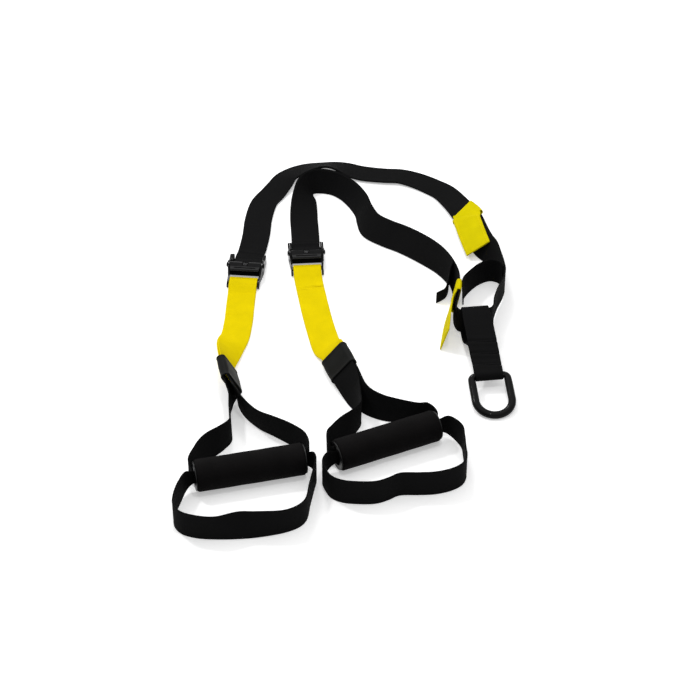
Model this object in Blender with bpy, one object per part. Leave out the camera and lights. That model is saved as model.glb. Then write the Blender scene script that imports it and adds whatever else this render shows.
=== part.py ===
"""Suspension trainer, laid out on the floor.

Two webbing legs meet at a sewn anchor loop with a D-ring. Each leg is a main ply and an adjuster ply
that turns round a bar in a cam buckle. Below each buckle a yellow strap runs to a sleeve, from which
the handle webbing makes a triangle through a foam grip, with a foot cradle hanging from the same grip.
Metres, +Z up, +X to the right and +Y away from the viewer. The origin is under the middle of the box.
"""

import math

import bmesh
import bpy
import numpy as np
from mathutils import Matrix, Vector

# Layout: places on the floor are shares of the span from the D-ring's bar to the far bend of the strap
LAID_SPAN = 0.500

# Webbing
WEBBING_WIDTH = 0.038
WEBBING_THICKNESS = 0.0016
YELLOW_THICKNESS = 0.0018
SEAM_GAP = 0.0003
PLY_SHIFT = 0.0012
PLY_FLAT = 0.012
PLY_REACH = 0.030
SAMPLE_STEP = 0.0012
LONGEST_RUN = 0.016
MOST_TURN = math.radians(14)

# Cam buckles
SIDE_PLATE = 0.0024
BUCKLE_REACH = 0.032
STRAP_SIDE_CLEARANCE = 0.0008
EAR_CLEARANCE = 0.0025
TIP_HEIGHT = 0.0085
EAR_HEIGHT = 0.0120
PIVOT_HEIGHT = 0.0158
PIVOT_AHEAD = 0.0010
CHEEK_RADIUS = 0.0042
BASE_PLATE = 0.0020
BASE_FRONT = 0.0240
BASE_BACK = 0.0020
BAR_RADIUS = 0.0030
BAR_BEHIND = 0.0205
TURN_BAR_RADIUS = 0.0024
TURN_BAR_BEHIND = 0.0030
PIN_RADIUS = 0.0018
RUNNING_CLEARANCE = 0.0003
RIVET_RADIUS = 0.0034
RIVET_PROUD = 0.0013
LEVER_SIDE_CLEARANCE = 0.0007
THUMB_LENGTH = 0.0165
THUMB_THICKNESS = 0.0022
THUMB_RISE = math.radians(12)
TOOTH_DEPTH = 0.0008
TOOTH_COUNT = 6
RECESS_MARGIN = 0.0045
RECESS_DEPTH = 0.0007
SPRING_WIRE = 0.0010
SPRING_TURNS = 4
SPRING_SLOT = 0.0085
SPRING_LEG = 0.0095

# Handles
GRIP_LENGTH = 0.133
GRIP_RADIUS = 0.0200
GRIP_ROUNDING = 0.0030
TUBE_RADIUS = 0.0150
TUBE_WALL = 0.0020
CAP_FLANGE = 0.0014
CAP_PLUG = 0.0100
CAP_BORE_RADIUS = 0.0116
CAP_FLANGE_RADIUS = 0.0180
PLY_APART_IN_BORE = 0.0012

# Sleeves and tabs
SLEEVE_LENGTH = 0.038
SLEEVE_WALL = 0.0016
SLEEVE_CLEARANCE = 0.0008
TAB_CLEARANCE = 0.0009
TAB_WRAP = 0.024
TAB_WALL = 0.0010
TAB_THICKNESS = 0.0020

# Anchor and D-ring
ROD_RADIUS = 0.0045
RING_INNER_WIDTH = 0.0375
RING_CORNER = 0.0060
RING_LEG = 0.038
RING_PITCH = math.radians(13.5)
LOOP_TOP_CLEARANCE = 0.0006
LOOP_FAR_CLEARANCE = 0.0056

OVERRUN = 0.0020
ROUND_SIDES = 24
ROD_SIDES = 12

# Ribbon stations: x and y as shares of the laid span, roll in degrees, then lift and width as shares of
# the webbing width. A roll over 0 raises the edge on the right-hand side of the heading.
BUCKLE_PLACES = {
    "left": {"x_share": -0.285, "y_share": 0.320, "yaw": -5.2},
    "right": {"x_share": -0.120, "y_share": 0.376, "yaw": 3.8},
}
LOOP_MIDDLE_SHARES = (0.3276, 0.0710)
LOOP_LIFT_share = 0.058
RING_BAR_SHARES = (0.354, -0.146)
LEFT_LEG_SHARES = [
    (-0.272, 0.428, 0), (-0.264, 0.500, 0), (-0.260, 0.576, 0), (-0.246, 0.654, 0), (-0.226, 0.692, 0),
    (-0.202, 0.722, 0), (-0.180, 0.762, 2), (-0.136, 0.800, 10), (-0.074, 0.816, 25), (-0.022, 0.814, 23),
    (0.030, 0.797, 18), (0.098, 0.784, 14), (0.146, 0.780, 9), (0.192, 0.762, 4), (0.240, 0.730, 0),
    (0.272, 0.700, -2), (0.299, 0.652, -5, 0.02), (0.316, 0.612, -8, 0.055), (0.328, 0.580, -12, 0.06),
    (0.338, 0.544, -19, 0.06), (0.350, 0.490, -31), (0.362, 0.440, -43), (0.375, 0.404, -55),
    (0.391, 0.374, -70), (0.405, 0.334, -84), (0.416, 0.282, -90), (0.417, 0.244, -90, 0.02),
    (0.408, 0.206, -90, 0.05), (0.391, 0.160, -90, LOOP_LIFT_share), (0.380, 0.118, -90, LOOP_LIFT_share),
    (0.378, 0.096, -90, LOOP_LIFT_share), (0.370, 0.080, -90, LOOP_LIFT_share),
    (0.350, 0.0736, -90, LOOP_LIFT_share),
]
LEFT_TAB_STATION = 17
RIGHT_LEG_SHARES = [
    (-0.126, 0.480, 0), (-0.130, 0.530, 0), (-0.134, 0.576, -5), (-0.138, 0.640, -20),
    (-0.136, 0.680, -50), (-0.119, 0.706, -75), (-0.090, 0.713, -78), (-0.050, 0.704, -78),
    (-0.016, 0.680, -75), (0.010, 0.652, -66), (0.028, 0.622, -60), (0.040, 0.592, -58),
    (0.050, 0.552, -54), (0.064, 0.512, -50), (0.104, 0.474, -52), (0.148, 0.446, -52),
    (0.214, 0.380, -60), (0.252, 0.330, -76), (0.272, 0.282, -86, 0.03), (0.279, 0.240, -90, 0.05),
    (0.279, 0.196, -90, LOOP_LIFT_share), (0.276, 0.150, -90, LOOP_LIFT_share),
    (0.275, 0.114, -90, LOOP_LIFT_share), (0.277, 0.088, -90, LOOP_LIFT_share),
    (0.287, 0.0710, -90, LOOP_LIFT_share), (0.304, 0.0688, -90, LOOP_LIFT_share),
]
RIGHT_TAIL_STATION = 17
TAIL_SHARES = [
    (0.268, 0.262, -86, -0.04, 0.92), (0.264, 0.236, -88, -0.16, 0.68), (0.256, 0.216, -88, -0.25, 0.5),
    (0.244, 0.204, -88, -0.25, 0.5), (0.232, 0.195, -88, -0.25, 0.5),
]
LOCKING_SHARES = [
    (0.2885, 0.190, -90), (0.296, 0.214, -90), (0.322, 0.248, -90), (0.350, 0.275, -90),
    (0.378, 0.282, -90), (0.400, 0.266, -90), (0.4115, 0.242, -90),
]
YELLOW_SHARES = {
    "left": [(-0.294, 0.182, 0), (-0.296, 0.114, 0), (-0.302, 0.048, 4), (-0.313, -0.012, 30)],
    "right": [(-0.096, 0.182, 0), (-0.084, 0.114, 0), (-0.071, 0.048, -5), (-0.059, -0.010, -24)],
}
# A quarter of a sleeve's outline from its narrow side: shares of the corner's width and of the thickness
SLEEVE_CORNER_SHARES = [(1.0, 0.62), (0.8, 0.93), (0.4, 1.0)]
# Places of the yellow plies' knots in the sleeve, from its middle, as shares of the sleeve's length
YELLOW_ENTRY_SHARES = (-0.70, -0.50, -0.10, 0.24)
SLEEVE_PLACES = {
    "left": {"x_share": -0.308, "y_share": -0.124, "bearing": -12, "roll": 68},
    "right": {"x_share": -0.028, "y_share": -0.098, "bearing": -20, "roll": -45},
}
GRIP_PLACES = {
    "left": {"x_share": -0.242, "y_share": -0.488, "yaw": 13.3},
    "right": {"x_share": 0.090, "y_share": -0.392, "yaw": 24.3},
}
# Handle legs run from the sleeve to the grip's left end, and from its right end back to the sleeve
HANDLE_LEG_SHARES = {
    "left": (
        [(-0.302, -0.232, 86), (-0.300, -0.296, 90), (-0.295, -0.352, 90), (-0.314, -0.379, 90),
         (-0.350, -0.408, 90), (-0.374, -0.450, 90)],
        [(-0.108, -0.406, 90), (-0.140, -0.372, 90), (-0.186, -0.340, 95), (-0.224, -0.316, 99),
         (-0.252, -0.286, 97), (-0.274, -0.254, 94), (-0.289, -0.216, 94)],
    ),
    "right": (
        [(0.008, -0.206, -65), (0.022, -0.252, -84), (0.027, -0.288, -90), (0.012, -0.316, -90),
         (-0.016, -0.340, -90), (-0.040, -0.372, -90), (-0.053, -0.398, -90)],
        [(0.194, -0.294, -90), (0.170, -0.293, -90), (0.120, -0.281, -94), (0.080, -0.268, -101),
         (0.044, -0.243, -108), (0.024, -0.214, -112)],
    ),
}
# Foot cradles run from the grip's right end, round the bottom, to its left end
CRADLE_SHARES = {
    "left": [
        (-0.082, -0.490, 90), (-0.088, -0.532, 90), (-0.096, -0.580, 90), (-0.104, -0.630, 90),
        (-0.120, -0.652, 90), (-0.154, -0.670, 90), (-0.216, -0.684, 90), (-0.258, -0.688, 90),
        (-0.314, -0.692, 90), (-0.360, -0.688, 90), (-0.396, -0.674, 90), (-0.414, -0.650, 90),
        (-0.416, -0.618, 90), (-0.406, -0.570, 90),
    ],
    "right": [
        (0.274, -0.372, 90), (0.279, -0.410, 90), (0.280, -0.450, 90), (0.281, -0.484, 90),
        (0.271, -0.508, 90), (0.246, -0.527, 90), (0.206, -0.540, 90), (0.166, -0.543, 90),
        (0.118, -0.545, 90), (0.094, -0.559, 90), (0.064, -0.572, 90), (0.020, -0.574, 90),
        (-0.020, -0.568, 90), (-0.044, -0.554, 90), (-0.058, -0.530, 90), (-0.066, -0.500, 90),
    ],
}
# Turns into a grip's bore: outward along the grip and sideways, as shares of the grip radius, then width
LEG_TURN_SHARES = {
    ("left", -1): [(0.26, 0.74, 0.88), (0.24, 0.42, 0.66), (0.08, 0.15, 0.53)],
    ("left", 1): [(0.46, 0.56, 0.84), (0.36, 0.30, 0.66), (0.08, 0.12, 0.53)],
    ("right", -1): [(0.34, 0.66, 0.84), (0.28, 0.36, 0.64), (0.08, 0.15, 0.53)],
    ("right", 1): [(0.24, 0.86, 0.90), (0.34, 0.44, 0.66), (0.09, 0.15, 0.53)],
}
CRADLE_TURN_SHARES = {
    ("left", -1): [(0.60, -0.26, 0.80), (0.20, -0.09, 0.56)],
    ("left", 1): [(0.52, -0.30, 0.80), (0.18, -0.10, 0.56)],
    ("right", -1): [(0.72, -0.20, 0.80), (0.22, -0.09, 0.56)],
    ("right", 1): [(0.72, -0.26, 0.80), (0.22, -0.09, 0.56)],
}
BORE_WIDTH_share = 0.50
BORE_DEPTH_shares = (0.3, 1.4)
# Tab flaps: x, y, roll and lift as for the straps, from the wrap to the free end
TAB_FLAP_SHARES = {
    "left": [(0.326, 0.544, -15, 0.23), (0.331, 0.500, -20, 0.21), (0.339, 0.440, -27, 0.19),
             (0.347, 0.380, -32, 0.18)],
    "right": [(0.2670, 0.182, -87, 0.05), (0.262, 0.152, -84, 0.04), (0.2550, 0.100, -83, 0.03),
              (0.245, 0.022, -86, 0.03)],
}
# Anchor webbing side view: along from the ring's bar to the strap, then height between floor and top
ANCHOR_UPPER_SHARES = [(0.20, 0.60), (0.45, 0.74), (0.75, 0.91)]
ANCHOR_LOWER_SHARES = [(0.90, 0.030), (0.76, 0.160), (0.58, 0.480), (0.46, 0.660)]
ANCHOR_SEWN_SHARES = [0.36, 0.26, 0.16]
ANCHOR_NARROW_share = 0.94

# Side view of the thumb plate, from the hub out and back: shares of its length and of half its thickness
THUMB_OUTLINE_SHARES = [(0.35, 1.0), (0.93, 1.0), (1.0, 0.3), (1.0, -0.4), (0.95, -1.0), (0.30, -1.0)]

# Looks of each material: base colour, roughness, metallic
LOOKS = {
    "black_webbing": ((0.012, 0.012, 0.013), 0.85, 0.0),
    "yellow_webbing": ((0.80, 0.62, 0.004), 0.75, 0.0),
    "sleeve_cloth": ((0.010, 0.010, 0.011), 0.70, 0.0),
    "foam": ((0.008, 0.008, 0.008), 0.90, 0.0),
    "black_plastic": ((0.015, 0.015, 0.015), 0.45, 0.0),
    "black_steel": ((0.010, 0.010, 0.010), 0.25, 1.0),
    "bare_steel": ((0.55, 0.55, 0.56), 0.30, 1.0),
}

UP = Vector((0, 0, 1))


def clear_scene():
    for thing in list(bpy.data.objects):
        bpy.data.objects.remove(thing, do_unlink=True)


def material(look):
    """One Principled material for each look."""
    if look in bpy.data.materials:
        return bpy.data.materials[look]
    color, roughness, metallic = LOOKS[look]
    made = bpy.data.materials.new(look)
    made.use_nodes = True
    shader = made.node_tree.nodes["Principled BSDF"]
    shader.inputs["Base Color"].default_value = (*color, 1)
    shader.inputs["Roughness"].default_value = roughness
    shader.inputs["Metallic"].default_value = metallic
    made.diffuse_color = (*color, 1)
    return made


def add_object(name, bm, look, parent, place=None, cutter=False):
    """Turns a bmesh into a named object under its parent, with faces pointing out."""
    bmesh.ops.recalc_face_normals(bm, faces=bm.faces)
    mesh = bpy.data.meshes.new(name)
    bm.to_mesh(mesh)
    bm.free()
    mesh.shade_smooth()
    mesh.set_sharp_from_angle(angle=math.radians(35))
    thing = bpy.data.objects.new(name, mesh)
    bpy.context.scene.collection.objects.link(thing)
    thing.parent = parent
    thing.matrix_local = place or Matrix.Identity(4)
    if cutter:
        thing.hide_render = True
        thing.display_type = "WIRE"
    else:
        mesh.materials.append(material(look))
    return thing


def boolean(target, tool, operation, brushes_itself=False):
    step = target.modifiers.new(tool.name, "BOOLEAN")
    step.operation = operation
    step.solver = "EXACT"
    step.use_self = brushes_itself
    step.object = tool


def join_loops(bm, loops, closed):
    """Bridges rings of vertices into a skin, and caps its ends unless it is closed on itself."""
    pairs = list(zip(loops, loops[1:]))
    if closed:
        pairs.append((loops[-1], loops[0]))
    for ring, following in pairs:
        for i in range(len(ring)):
            j = (i + 1) % len(ring)
            bm.faces.new((ring[i], ring[j], following[j], following[i]))
    if not closed:
        bm.faces.new(loops[0][::-1])
        bm.faces.new(loops[-1])


def prism(outline, axis_length):
    """A closed outline in the Y-Z plane, extruded along X about the origin."""
    bm = bmesh.new()
    half = axis_length / 2
    loops = [[bm.verts.new((side, y, z)) for y, z in outline] for side in (-half, half)]
    join_loops(bm, loops, closed=False)
    return bm


def arc(center, radius, start, end, steps):
    """Points on an arc, both ends included; angles in degrees."""
    points = []
    for i in range(steps + 1):
        angle = math.radians(start + (end - start) * i / steps)
        points.append((center[0] + radius * math.cos(angle), center[1] + radius * math.sin(angle)))
    return points


def rod(radius, length, sides=ROD_SIDES):
    return prism(arc((0, 0), radius, 0, 360 * (1 - 1 / sides), sides - 1), length)


def turned(profile, sides=ROUND_SIDES):
    """Revolves a closed outline of (radius, along) about X."""
    bm = bmesh.new()
    loops = []
    for i in range(sides):
        angle = math.tau * i / sides
        loops.append([
            bm.verts.new((along, radius * math.cos(angle), radius * math.sin(angle)))
            for radius, along in profile
        ])
    join_loops(bm, loops, closed=True)
    return bm


def stations(shares):
    """Station shares as knots of x, y, lift, roll and width in real sizes."""
    plain = (0, 1)
    knots = []
    for row in shares:
        x, y, roll, lift, width = (*row, *plain[len(row) - 3:])
        knots.append((
            x * LAID_SPAN, y * LAID_SPAN, lift * WEBBING_WIDTH, math.radians(roll), width * WEBBING_WIDTH,
        ))
    return knots


def center_height(lift, roll, thickness):
    """Height of a ribbon's middle line when its lowest edge is lifted by the given amount."""
    return lift + abs(math.sin(roll)) * WEBBING_WIDTH / 2 + abs(math.cos(roll)) * thickness / 2


def knot_at(point, roll, thickness, width=WEBBING_WIDTH):
    """A knot whose middle line passes through a given point."""
    lift = point.z - center_height(0, roll, thickness)
    return (point.x, point.y, lift, roll, width)


def curve_through(knots, closed=False):
    """Close points on a centripetal curve through the knots, and the index at which each knot falls."""
    rows = np.array(knots, float)
    if closed:
        rows = np.vstack([rows[-1:], rows, rows[:2]])
    else:
        rows = np.vstack([2 * rows[0] - rows[1], rows, 2 * rows[-1] - rows[-2]])
    points = []
    starts = []
    for four in zip(rows, rows[1:], rows[2:], rows[3:]):
        gaps = [math.sqrt(np.linalg.norm((q - p)[:3])) for p, q in zip(four, four[1:])]
        times = np.cumsum([0.0, *gaps])
        steps = max(2, math.ceil(np.linalg.norm((four[2] - four[1])[:3]) / SAMPLE_STEP))
        starts.append(len(points))
        for time in np.linspace(times[1], times[2], steps, endpoint=False):
            points.append(blended(four, times, time))
    if not closed:
        starts.append(len(points))
        points.append(rows[-2])
    return np.array(points), starts


def blended(four, times, time):
    """The point that four knots give at a time between the middle two: three rounds of blending pairs."""
    level = list(four)
    for spans in (((0, 1), (1, 2), (2, 3)), ((0, 2), (1, 3)), ((1, 2),)):
        level = [
            ((times[b] - time) * one + (time - times[a]) * other) / (times[b] - times[a])
            for (a, b), one, other in zip(spans, level, level[1:])
        ]
    return level[0]


def frame(point, across, along, width):
    """A ribbon frame: middle point, unit vector across, unit normal and width."""
    along = along.normalized()
    across = (across - along * across.dot(along)).normalized()
    return (point, across, across.cross(along).normalized(), width)


def floor_frames(points, thickness, closed=False, level=False):
    """Frames of a ribbon that stands or lies on the floor along x, y, lift, roll and width. Level frames
    keep their sections upright where a ribbon on edge climbs, or narrows towards the floor."""
    middles = [Vector((x, y, center_height(lift, roll, thickness))) for x, y, lift, roll, _ in points]
    count = len(middles)
    frames = []
    for i, (_, _, _, roll, width) in enumerate(points):
        if closed:
            along = middles[(i + 1) % count] - middles[i - 1]
        else:
            along = middles[min(i + 1, count - 1)] - middles[max(i - 1, 0)]
        if level:
            along.z = 0
        side = Vector((along.y, -along.x, 0)).normalized()
        across = side * math.cos(roll) + UP * math.sin(roll)
        frames.append(off_floor(frame(middles[i], across, along, width), thickness))
    return frames


def off_floor(one, thickness):
    """A frame raised, where a bend would dip its lower corner below the floor."""
    point, across, normal, width = one
    lowest = point.z - abs(across.z) * width / 2 - abs(normal.z) * thickness / 2
    return (point + UP * max(0, -lowest), across, normal, width)


def ribbon_frames(knots, thickness, closed=False):
    """The frames that a ribbon through the knots needs."""
    points, _ = curve_through(knots, closed)
    kept = thinned(floor_frames(points, thickness, closed))
    if closed and (kept[-1][0] - kept[0][0]).length < SAMPLE_STEP * 2:
        kept.pop()
    return kept


def second_ply(frames, step, first_gap=None, flat=0.0, reach=None, shift=0.0):
    """Frames of a ply that lies on another: further off it at the start, where it comes from a bar, and
    moved aside by a shift that fades out where the ribbon is on edge."""
    moved = []
    travelled = 0.0
    before = frames[0][0]
    for point, across, normal, width in frames:
        travelled += (point - before).length
        before = point
        off = step
        aside = shift
        if reach:
            share = min(1, max(0, (travelled - flat) / reach))
            off += (first_gap - step) * (1 - share) ** 2 * (1 + 2 * share)
            aside *= share
        moved.append((point + normal * off + across * (aside * abs(normal.z)), across, normal, width))
    return moved


def flipped(frames):
    return [(point, across, -normal, width) for point, across, normal, width in frames]


def profile_frames(side_view, place, width_at, closed=False):
    """Frames of a ribbon whose side view is a line of (along, height) in the Y-Z plane of a place."""
    across = place.to_3x3() @ Vector((1, 0, 0))
    middles = [place @ Vector((0, along, height)) for along, height in side_view]
    count = len(middles)
    frames = []
    for i in range(count):
        if closed:
            heading = middles[(i + 1) % count] - middles[i - 1]
        else:
            heading = middles[min(i + 1, count - 1)] - middles[max(i - 1, 0)]
        frames.append(frame(middles[i], across, heading, width_at(side_view[i][0])))
    return frames


def thinned(frames):
    """Keeps the frames that the bends and twists need."""
    kept = [frames[0]]
    for before, following in zip(frames[1:], frames[2:]):
        last = kept[-1]
        turn = max(last[2].angle(following[2]), last[1].angle(following[1]))
        if turn > MOST_TURN or (following[0] - last[0]).length > LONGEST_RUN:
            kept.append(before)
    kept.append(frames[-1])
    return kept


def ribbon_mesh(frames, thickness, closed=False, turned_back=0):
    """A ribbon on its frames. Up to the frame where it turns back, its twisted faces are split along the
    other diagonal, so that two plies that lie on each other keep their gap."""
    bm = bmesh.new()
    loops = []
    for point, across, normal, width in frames:
        side = across * (width / 2)
        up = normal * (thickness / 2)
        loops.append([bm.verts.new(p) for p in (
            point + side + up, point - side + up, point - side - up, point + side - up)])
    pairs = list(zip(loops, loops[1:]))
    if closed:
        pairs.append((loops[-1], loops[0]))
    else:
        bm.faces.new(loops[0][::-1])
        bm.faces.new(loops[-1])
    for index, (ring, following) in enumerate(pairs):
        for i in range(4):
            j = (i + 1) % 4
            wide_face = i % 2 == 0
            lean = (i == 2) != (index < turned_back)
            if not wide_face:
                bm.faces.new((ring[i], ring[j], following[j], following[i]))
            elif lean:
                bm.faces.new((ring[i], ring[j], following[j]))
                bm.faces.new((ring[i], following[j], following[i]))
            else:
                bm.faces.new((ring[i], ring[j], following[i]))
                bm.faces.new((ring[j], following[j], following[i]))
    return bm


def flat_tube_mesh(frames, half_width, half_thickness, wall):
    """A flattened sleeve with rounded corners round a ribbon's frames, open at both ends."""
    bm = bmesh.new()
    sections = []
    for point, across, normal, _ in frames:
        rings = []
        for grow in (0, wall):
            corner = half_thickness + grow
            reach = half_width + grow - corner / 2
            outline = []
            for turn_x, turn_y in ((1, 1), (-1, 1), (-1, -1), (1, -1)):
                bend = SLEEVE_CORNER_SHARES[:]
                if turn_x * turn_y < 0:
                    bend.reverse()
                for out_share, up_share in bend:
                    outline.append((turn_x * (reach + corner / 2 * out_share), turn_y * corner * up_share))
            rings.append([bm.verts.new(point + across * a + normal * b) for a, b in outline])
        sections.append(rings)
    inner = [rings[0] for rings in sections]
    outer = [rings[1] for rings in sections]
    skin_path = outer + inner[::-1]
    join_loops(bm, skin_path, closed=True)
    return bm


def place_on_floor(x, y, yaw_degrees, height=0.0):
    return Matrix.Translation((x, y, height)) @ Matrix.Rotation(math.radians(yaw_degrees), 4, "Z")


def buckle_place(side):
    spot = BUCKLE_PLACES[side]
    return place_on_floor(spot["x_share"] * LAID_SPAN, spot["y_share"] * LAID_SPAN, spot["yaw"])


def grip_place(side):
    spot = GRIP_PLACES[side]
    return place_on_floor(
        spot["x_share"] * LAID_SPAN, spot["y_share"] * LAID_SPAN, spot["yaw"], GRIP_RADIUS)


# Heights inside a buckle that the webbing, bars and cam share
def lower_ply_height():
    return BASE_PLATE + SEAM_GAP + WEBBING_THICKNESS / 2


def turn_radius():
    return TURN_BAR_RADIUS + SEAM_GAP + WEBBING_THICKNESS / 2


def turn_bar_height():
    return lower_ply_height() + turn_radius()


def upper_ply_height():
    return lower_ply_height() + 2 * turn_radius()


def inner_half_width(along_share):
    """Half the gap between a buckle's side plates, from the tips at 0 to the ears at 1."""
    grown = min(1, max(0, (along_share - 0.25) / 0.30))
    return WEBBING_WIDTH / 2 + STRAP_SIDE_CLEARANCE + EAR_CLEARANCE * grown


def side_plate_mesh(hand):
    """A buckle's side plate: low at the tip, high round the pivot, stepped outwards towards the ear."""
    bm = bmesh.new()
    pivot_top = PIVOT_HEIGHT + CHEEK_RADIUS
    outline_shares = [
        (0.00, 0.62, 0), (0.04, 0.90, 0), (0.10, 1.00, 0), (0.25, 1.00, 0.10), (0.34, 1.00, 0.45),
        (0.42, 1.00, 0.85), (0.47, 1.00, 0.98), (0.52, 1.00, 1.00), (0.57, 1.00, 0.98),
        (0.62, 1.00, 0.85), (0.70, 1.00, 0.50), (0.78, 1.00, 0.28), (0.93, 1.00, 0.24),
        (0.98, 0.85, 0.20), (1.00, 0.60, 0.16),
    ]
    loops = []
    for along_share, round_share, rise_share in outline_shares:
        along = (2 * along_share - 1) * BUCKLE_REACH
        base_height = TIP_HEIGHT + (EAR_HEIGHT - TIP_HEIGHT) * max(0, 2 * along_share - 1)
        top = base_height * round_share + max(0, pivot_top - base_height) * rise_share
        lift = TIP_HEIGHT * (1 - round_share) / 2
        inner = inner_half_width(along_share)
        outer = inner + SIDE_PLATE
        edge = SIDE_PLATE * 0.25
        section = [
            (inner, lift), (outer - edge, lift), (outer, lift + edge),
            (outer, top - edge), (outer - edge, top), (inner, top),
        ]
        loops.append([bm.verts.new((hand * across, along, height)) for across, height in section])
    join_loops(bm, loops, closed=False)
    return bm


def buckle_frame(side, root, place):
    """Two side plates on one base plate, bored for the two bars and the cam's pin."""
    base_width = 2 * (inner_half_width(1) + SIDE_PLATE / 2)
    base = prism(
        [(-BASE_BACK, 0), (BASE_FRONT, 0), (BASE_FRONT, BASE_PLATE), (-BASE_BACK, BASE_PLATE)], base_width)
    frame_object = add_object(f"{side}_buckle_frame", base, "black_steel", root, place)
    for hand in (-1, 1):
        plate = add_object(f"{side}_plate_{hand}", side_plate_mesh(hand), None, root, place, cutter=True)
        boolean(frame_object, plate, "UNION")
    through = 2 * (inner_half_width(1) + SIDE_PLATE + OVERRUN)
    for along, height, radius in (
        (-BAR_BEHIND, lower_bar_height(), BAR_RADIUS),
        (-TURN_BAR_BEHIND, turn_bar_height(), TURN_BAR_RADIUS),
        (PIVOT_AHEAD, PIVOT_HEIGHT, PIN_RADIUS),
    ):
        hole = rod(radius + RUNNING_CLEARANCE, through)
        spot = place @ Matrix.Translation((0, along, height))
        drill = add_object(f"{side}_hole_{along:.4f}", hole, None, root, spot, cutter=True)
        boolean(frame_object, drill, "DIFFERENCE")


def lower_bar_height():
    return BAR_RADIUS + SEAM_GAP * 2 + YELLOW_THICKNESS


def headed_pin_mesh(radius, head_radius, half_inside):
    """A pin between a buckle's side plates, with a riveted head outside each."""
    inside = half_inside + SIDE_PLATE + RUNNING_CLEARANCE
    profile = [
        (0, -inside - RIVET_PROUD), (head_radius * 0.7, -inside - RIVET_PROUD),
        (head_radius, -inside - RIVET_PROUD / 2), (head_radius, -inside), (radius, -inside),
        (radius, inside), (head_radius, inside), (head_radius, inside + RIVET_PROUD / 2),
        (head_radius * 0.7, inside + RIVET_PROUD), (0, inside + RIVET_PROUD),
    ]
    bm = bmesh.new()
    loops = []
    ends = [bm.verts.new((profile[0][1], 0, 0)), bm.verts.new((profile[-1][1], 0, 0))]
    for radius_here, along in profile[1:-1]:
        circle = arc((0, 0), radius_here, 0, 360 * (1 - 1 / ROD_SIDES), ROD_SIDES - 1)
        loops.append([bm.verts.new((along, y, z)) for y, z in circle])
    for ring, following in zip(loops, loops[1:]):
        for i in range(ROD_SIDES):
            j = (i + 1) % ROD_SIDES
            bm.faces.new((ring[i], ring[j], following[j], following[i]))
    for end, ring in ((ends[0], loops[0]), (ends[1], loops[-1])):
        for i in range(ROD_SIDES):
            bm.faces.new((end, ring[i], ring[(i + 1) % ROD_SIDES]))
    return bm


def cam_outline():
    """Side view of the lever about its pivot: toothed belly below, hub, and thumb plate behind."""
    reach = PIVOT_HEIGHT - upper_ply_height() - WEBBING_THICKNESS / 2 - SEAM_GAP
    outline = []
    first, last = -118, -42
    for i in range(2 * TOOTH_COUNT + 1):
        angle = first + (last - first) * i / (2 * TOOTH_COUNT)
        radius = reach * (1 + 0.004 * (angle + 90))
        if i % 2 == 0:
            radius -= TOOTH_DEPTH
        radians = math.radians(angle)
        outline.append((radius * math.cos(radians), radius * math.sin(radians)))
    hub = CHEEK_RADIUS
    outline += arc((0, 0), hub, -20, 100, 6)
    back = Vector((-math.cos(THUMB_RISE), math.sin(THUMB_RISE)))
    up = Vector((math.sin(THUMB_RISE), math.cos(THUMB_RISE)))
    half = THUMB_THICKNESS / 2
    for along_share, lift_share in THUMB_OUTLINE_SHARES:
        point = back * (THUMB_LENGTH * along_share) + up * (half * lift_share)
        outline.append((point.x, point.y))
    return outline


def lever_half_width(along):
    """Half the lever's width at a place along it from the pivot; it follows the side plates' flare."""
    return inner_half_width((PIVOT_AHEAD + along + BUCKLE_REACH) / (2 * BUCKLE_REACH)) - LEVER_SIDE_CLEARANCE


def lever_mesh():
    bm = bmesh.new()
    loops = []
    for hand in (-1, 1):
        loops.append([bm.verts.new((hand * lever_half_width(y), y, z)) for y, z in cam_outline()])
    join_loops(bm, loops, closed=False)
    return bm


def cam_lever(side, root, place):
    """The sprung lever that bites the adjuster ply, bored for its pin and slotted for its spring."""
    spot = place @ Matrix.Translation((0, PIVOT_AHEAD, PIVOT_HEIGHT))
    lever = add_object(f"{side}_cam_lever", lever_mesh(), "black_steel", root, spot)
    bore_length = 2 * (lever_half_width(0) + OVERRUN)
    bore_mesh = rod(PIN_RADIUS + RUNNING_CLEARANCE, bore_length)
    bore = add_object(f"{side}_lever_bore", bore_mesh, None, root, spot, cutter=True)
    boolean(lever, bore, "DIFFERENCE")
    slot_mesh = box_mesh(SPRING_SLOT, 4 * CHEEK_RADIUS, 4 * CHEEK_RADIUS)
    slot_spot = spot @ Matrix.Translation((0, CHEEK_RADIUS, 0))
    slot = add_object(f"{side}_lever_slot", slot_mesh, None, root, slot_spot, cutter=True)
    boolean(lever, slot, "DIFFERENCE")
    recess_width = 2 * (lever_half_width(-THUMB_LENGTH) - RECESS_MARGIN)
    recess_mesh = box_mesh(recess_width, THUMB_LENGTH * 0.30, 2 * RECESS_DEPTH)
    tilt = Matrix.Rotation(-THUMB_RISE, 4, "X")
    recess_spot = spot @ tilt @ Matrix.Translation((0, -THUMB_LENGTH * 0.72, THUMB_THICKNESS / 2))
    recess = add_object(f"{side}_lever_recess", recess_mesh, None, root, recess_spot, cutter=True)
    boolean(lever, recess, "DIFFERENCE")


def box_mesh(width, depth, height):
    bm = bmesh.new()
    bmesh.ops.create_cube(bm, size=1)
    bmesh.ops.scale(bm, vec=(width, depth, height), verts=bm.verts)
    return bm


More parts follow.
